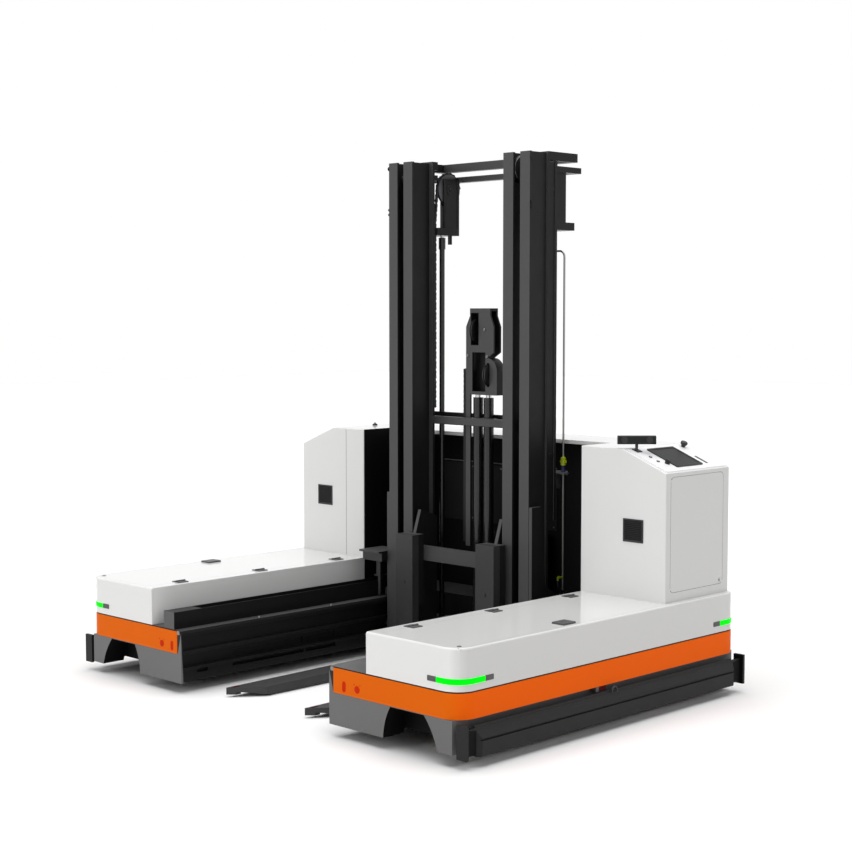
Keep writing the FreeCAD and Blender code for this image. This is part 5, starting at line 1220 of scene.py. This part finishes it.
# --- setting ------------------------------------------------------------------------------------
@dataclass(frozen=True)
class Studio:
    """Camera, pale floor and soft lights, in metres."""

    camera_at: tuple[float, float, float] = (5.604, -5.489, 1.789)
    camera_turn: tuple[float, float, float] = (86.03, 0.0, 44.84)
    lens: float = 68.75
    floor_size: float = 60.0
    surround_light: float = 0.14
    surround_seen: float = 1.0

    def build(self) -> None:
        """Make the studio."""
        self._camera()
        self._floor()
        self._world()
        self._sky_panel("overhead_panel", (0.0, 0.0, 1.0), 70.0, 2.75)
        self._sky_panel("front_panel", (-0.35, -1.0, 0.45), 35.0, 0.7)
        self._sky_panel("side_panel", (1.0, -0.15, 0.35), 50.0, 0.5)

    def _camera(self) -> None:
        """Camera at the viewing angle."""
        data = bpy.data.cameras.new("camera")
        data.lens = self.lens
        data.sensor_width = 36.0
        data.clip_end = 200.0
        camera = bpy.data.objects.new("camera", data)
        camera.location = self.camera_at
        camera.rotation_euler = [math.radians(a) for a in self.camera_turn]
        bpy.context.scene.collection.objects.link(camera)
        bpy.context.scene.camera = camera

    def _floor(self) -> None:
        """Plain pale floor."""
        half = self.floor_size / 2
        data = bpy.data.meshes.new("floor")
        corners = [(-half, -half, 0), (half, -half, 0), (half, half, 0), (-half, half, 0)]
        data.from_pydata(corners, [], [(0, 1, 2, 3)])
        floor = bpy.data.objects.new("floor", data)
        bpy.context.scene.collection.objects.link(floor)
        paper = bpy.data.materials.new("white_paper_floor")
        paper.use_nodes = True
        shader = paper.node_tree.nodes["Principled BSDF"]
        shader.inputs["Base Color"].default_value = srgb("#FAFAFA")
        shader.inputs["Roughness"].default_value = 0.9
        shader.inputs["Specular IOR Level"].default_value = 0.1
        data.materials.append(paper)

    def _world(self) -> None:
        """Even white surround, brighter to the eye than to the object."""
        world = bpy.data.worlds.new("studio")
        bpy.context.scene.world = world
        world.use_nodes = True
        tree = world.node_tree
        tree.nodes.clear()
        light = add_node(tree, "ShaderNodeBackground", {
            "Color": (1, 1, 1, 1), "Strength": self.surround_light})
        seen = add_node(tree, "ShaderNodeBackground", {
            "Color": (1, 1, 1, 1), "Strength": self.surround_seen})
        path = add_node(tree, "ShaderNodeLightPath")
        bright = add_node(tree, "ShaderNodeMath", {
            0: path.outputs["Is Camera Ray"], 1: path.outputs["Is Glossy Ray"]}, operation="MAXIMUM")
        mixed = add_node(tree, "ShaderNodeMixShader", {
            0: bright.outputs[0], 1: light.outputs[0], 2: seen.outputs[0]})
        add_node(tree, "ShaderNodeOutputWorld", {"Surface": mixed.outputs[0]})
        bpy.context.scene.view_settings.view_transform = "Standard"

    @staticmethod
    def _sky_panel(name: str, towards: Point, spread: float, strength: float) -> None:
        """Add an even light from one part of the surround.

        Args:
            name: The light's name.
            towards: Direction in which it lies.
            spread: Angle that it fills, in degrees.
            strength: Light that it gives a face turned to it.
        """
        data = bpy.data.lights.new(name, "SUN")
        data.angle = math.radians(spread)
        data.energy = strength
        lamp = bpy.data.objects.new(name, data)
        lamp.rotation_euler = Vector(towards).to_track_quat("Z", "Y").to_euler()
        bpy.context.scene.collection.objects.link(lamp)


def main() -> None:
    """Build every sub-assembly in order, then the studio."""
    logging.basicConfig(level=logging.WARNING)
    LOG.setLevel(logging.INFO)
    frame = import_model()
    nodes = frame["nodes"]
    for assembly in (BodyPanels(nodes), CornerLights(), Console(nodes), RearBay(nodes), Mast(nodes),
                     RunningGear(nodes)):
        assembly.build()
        LOG.info("built %s", type(assembly).__name__)
    Studio().build()


if __name__ == "__main__":
    main()
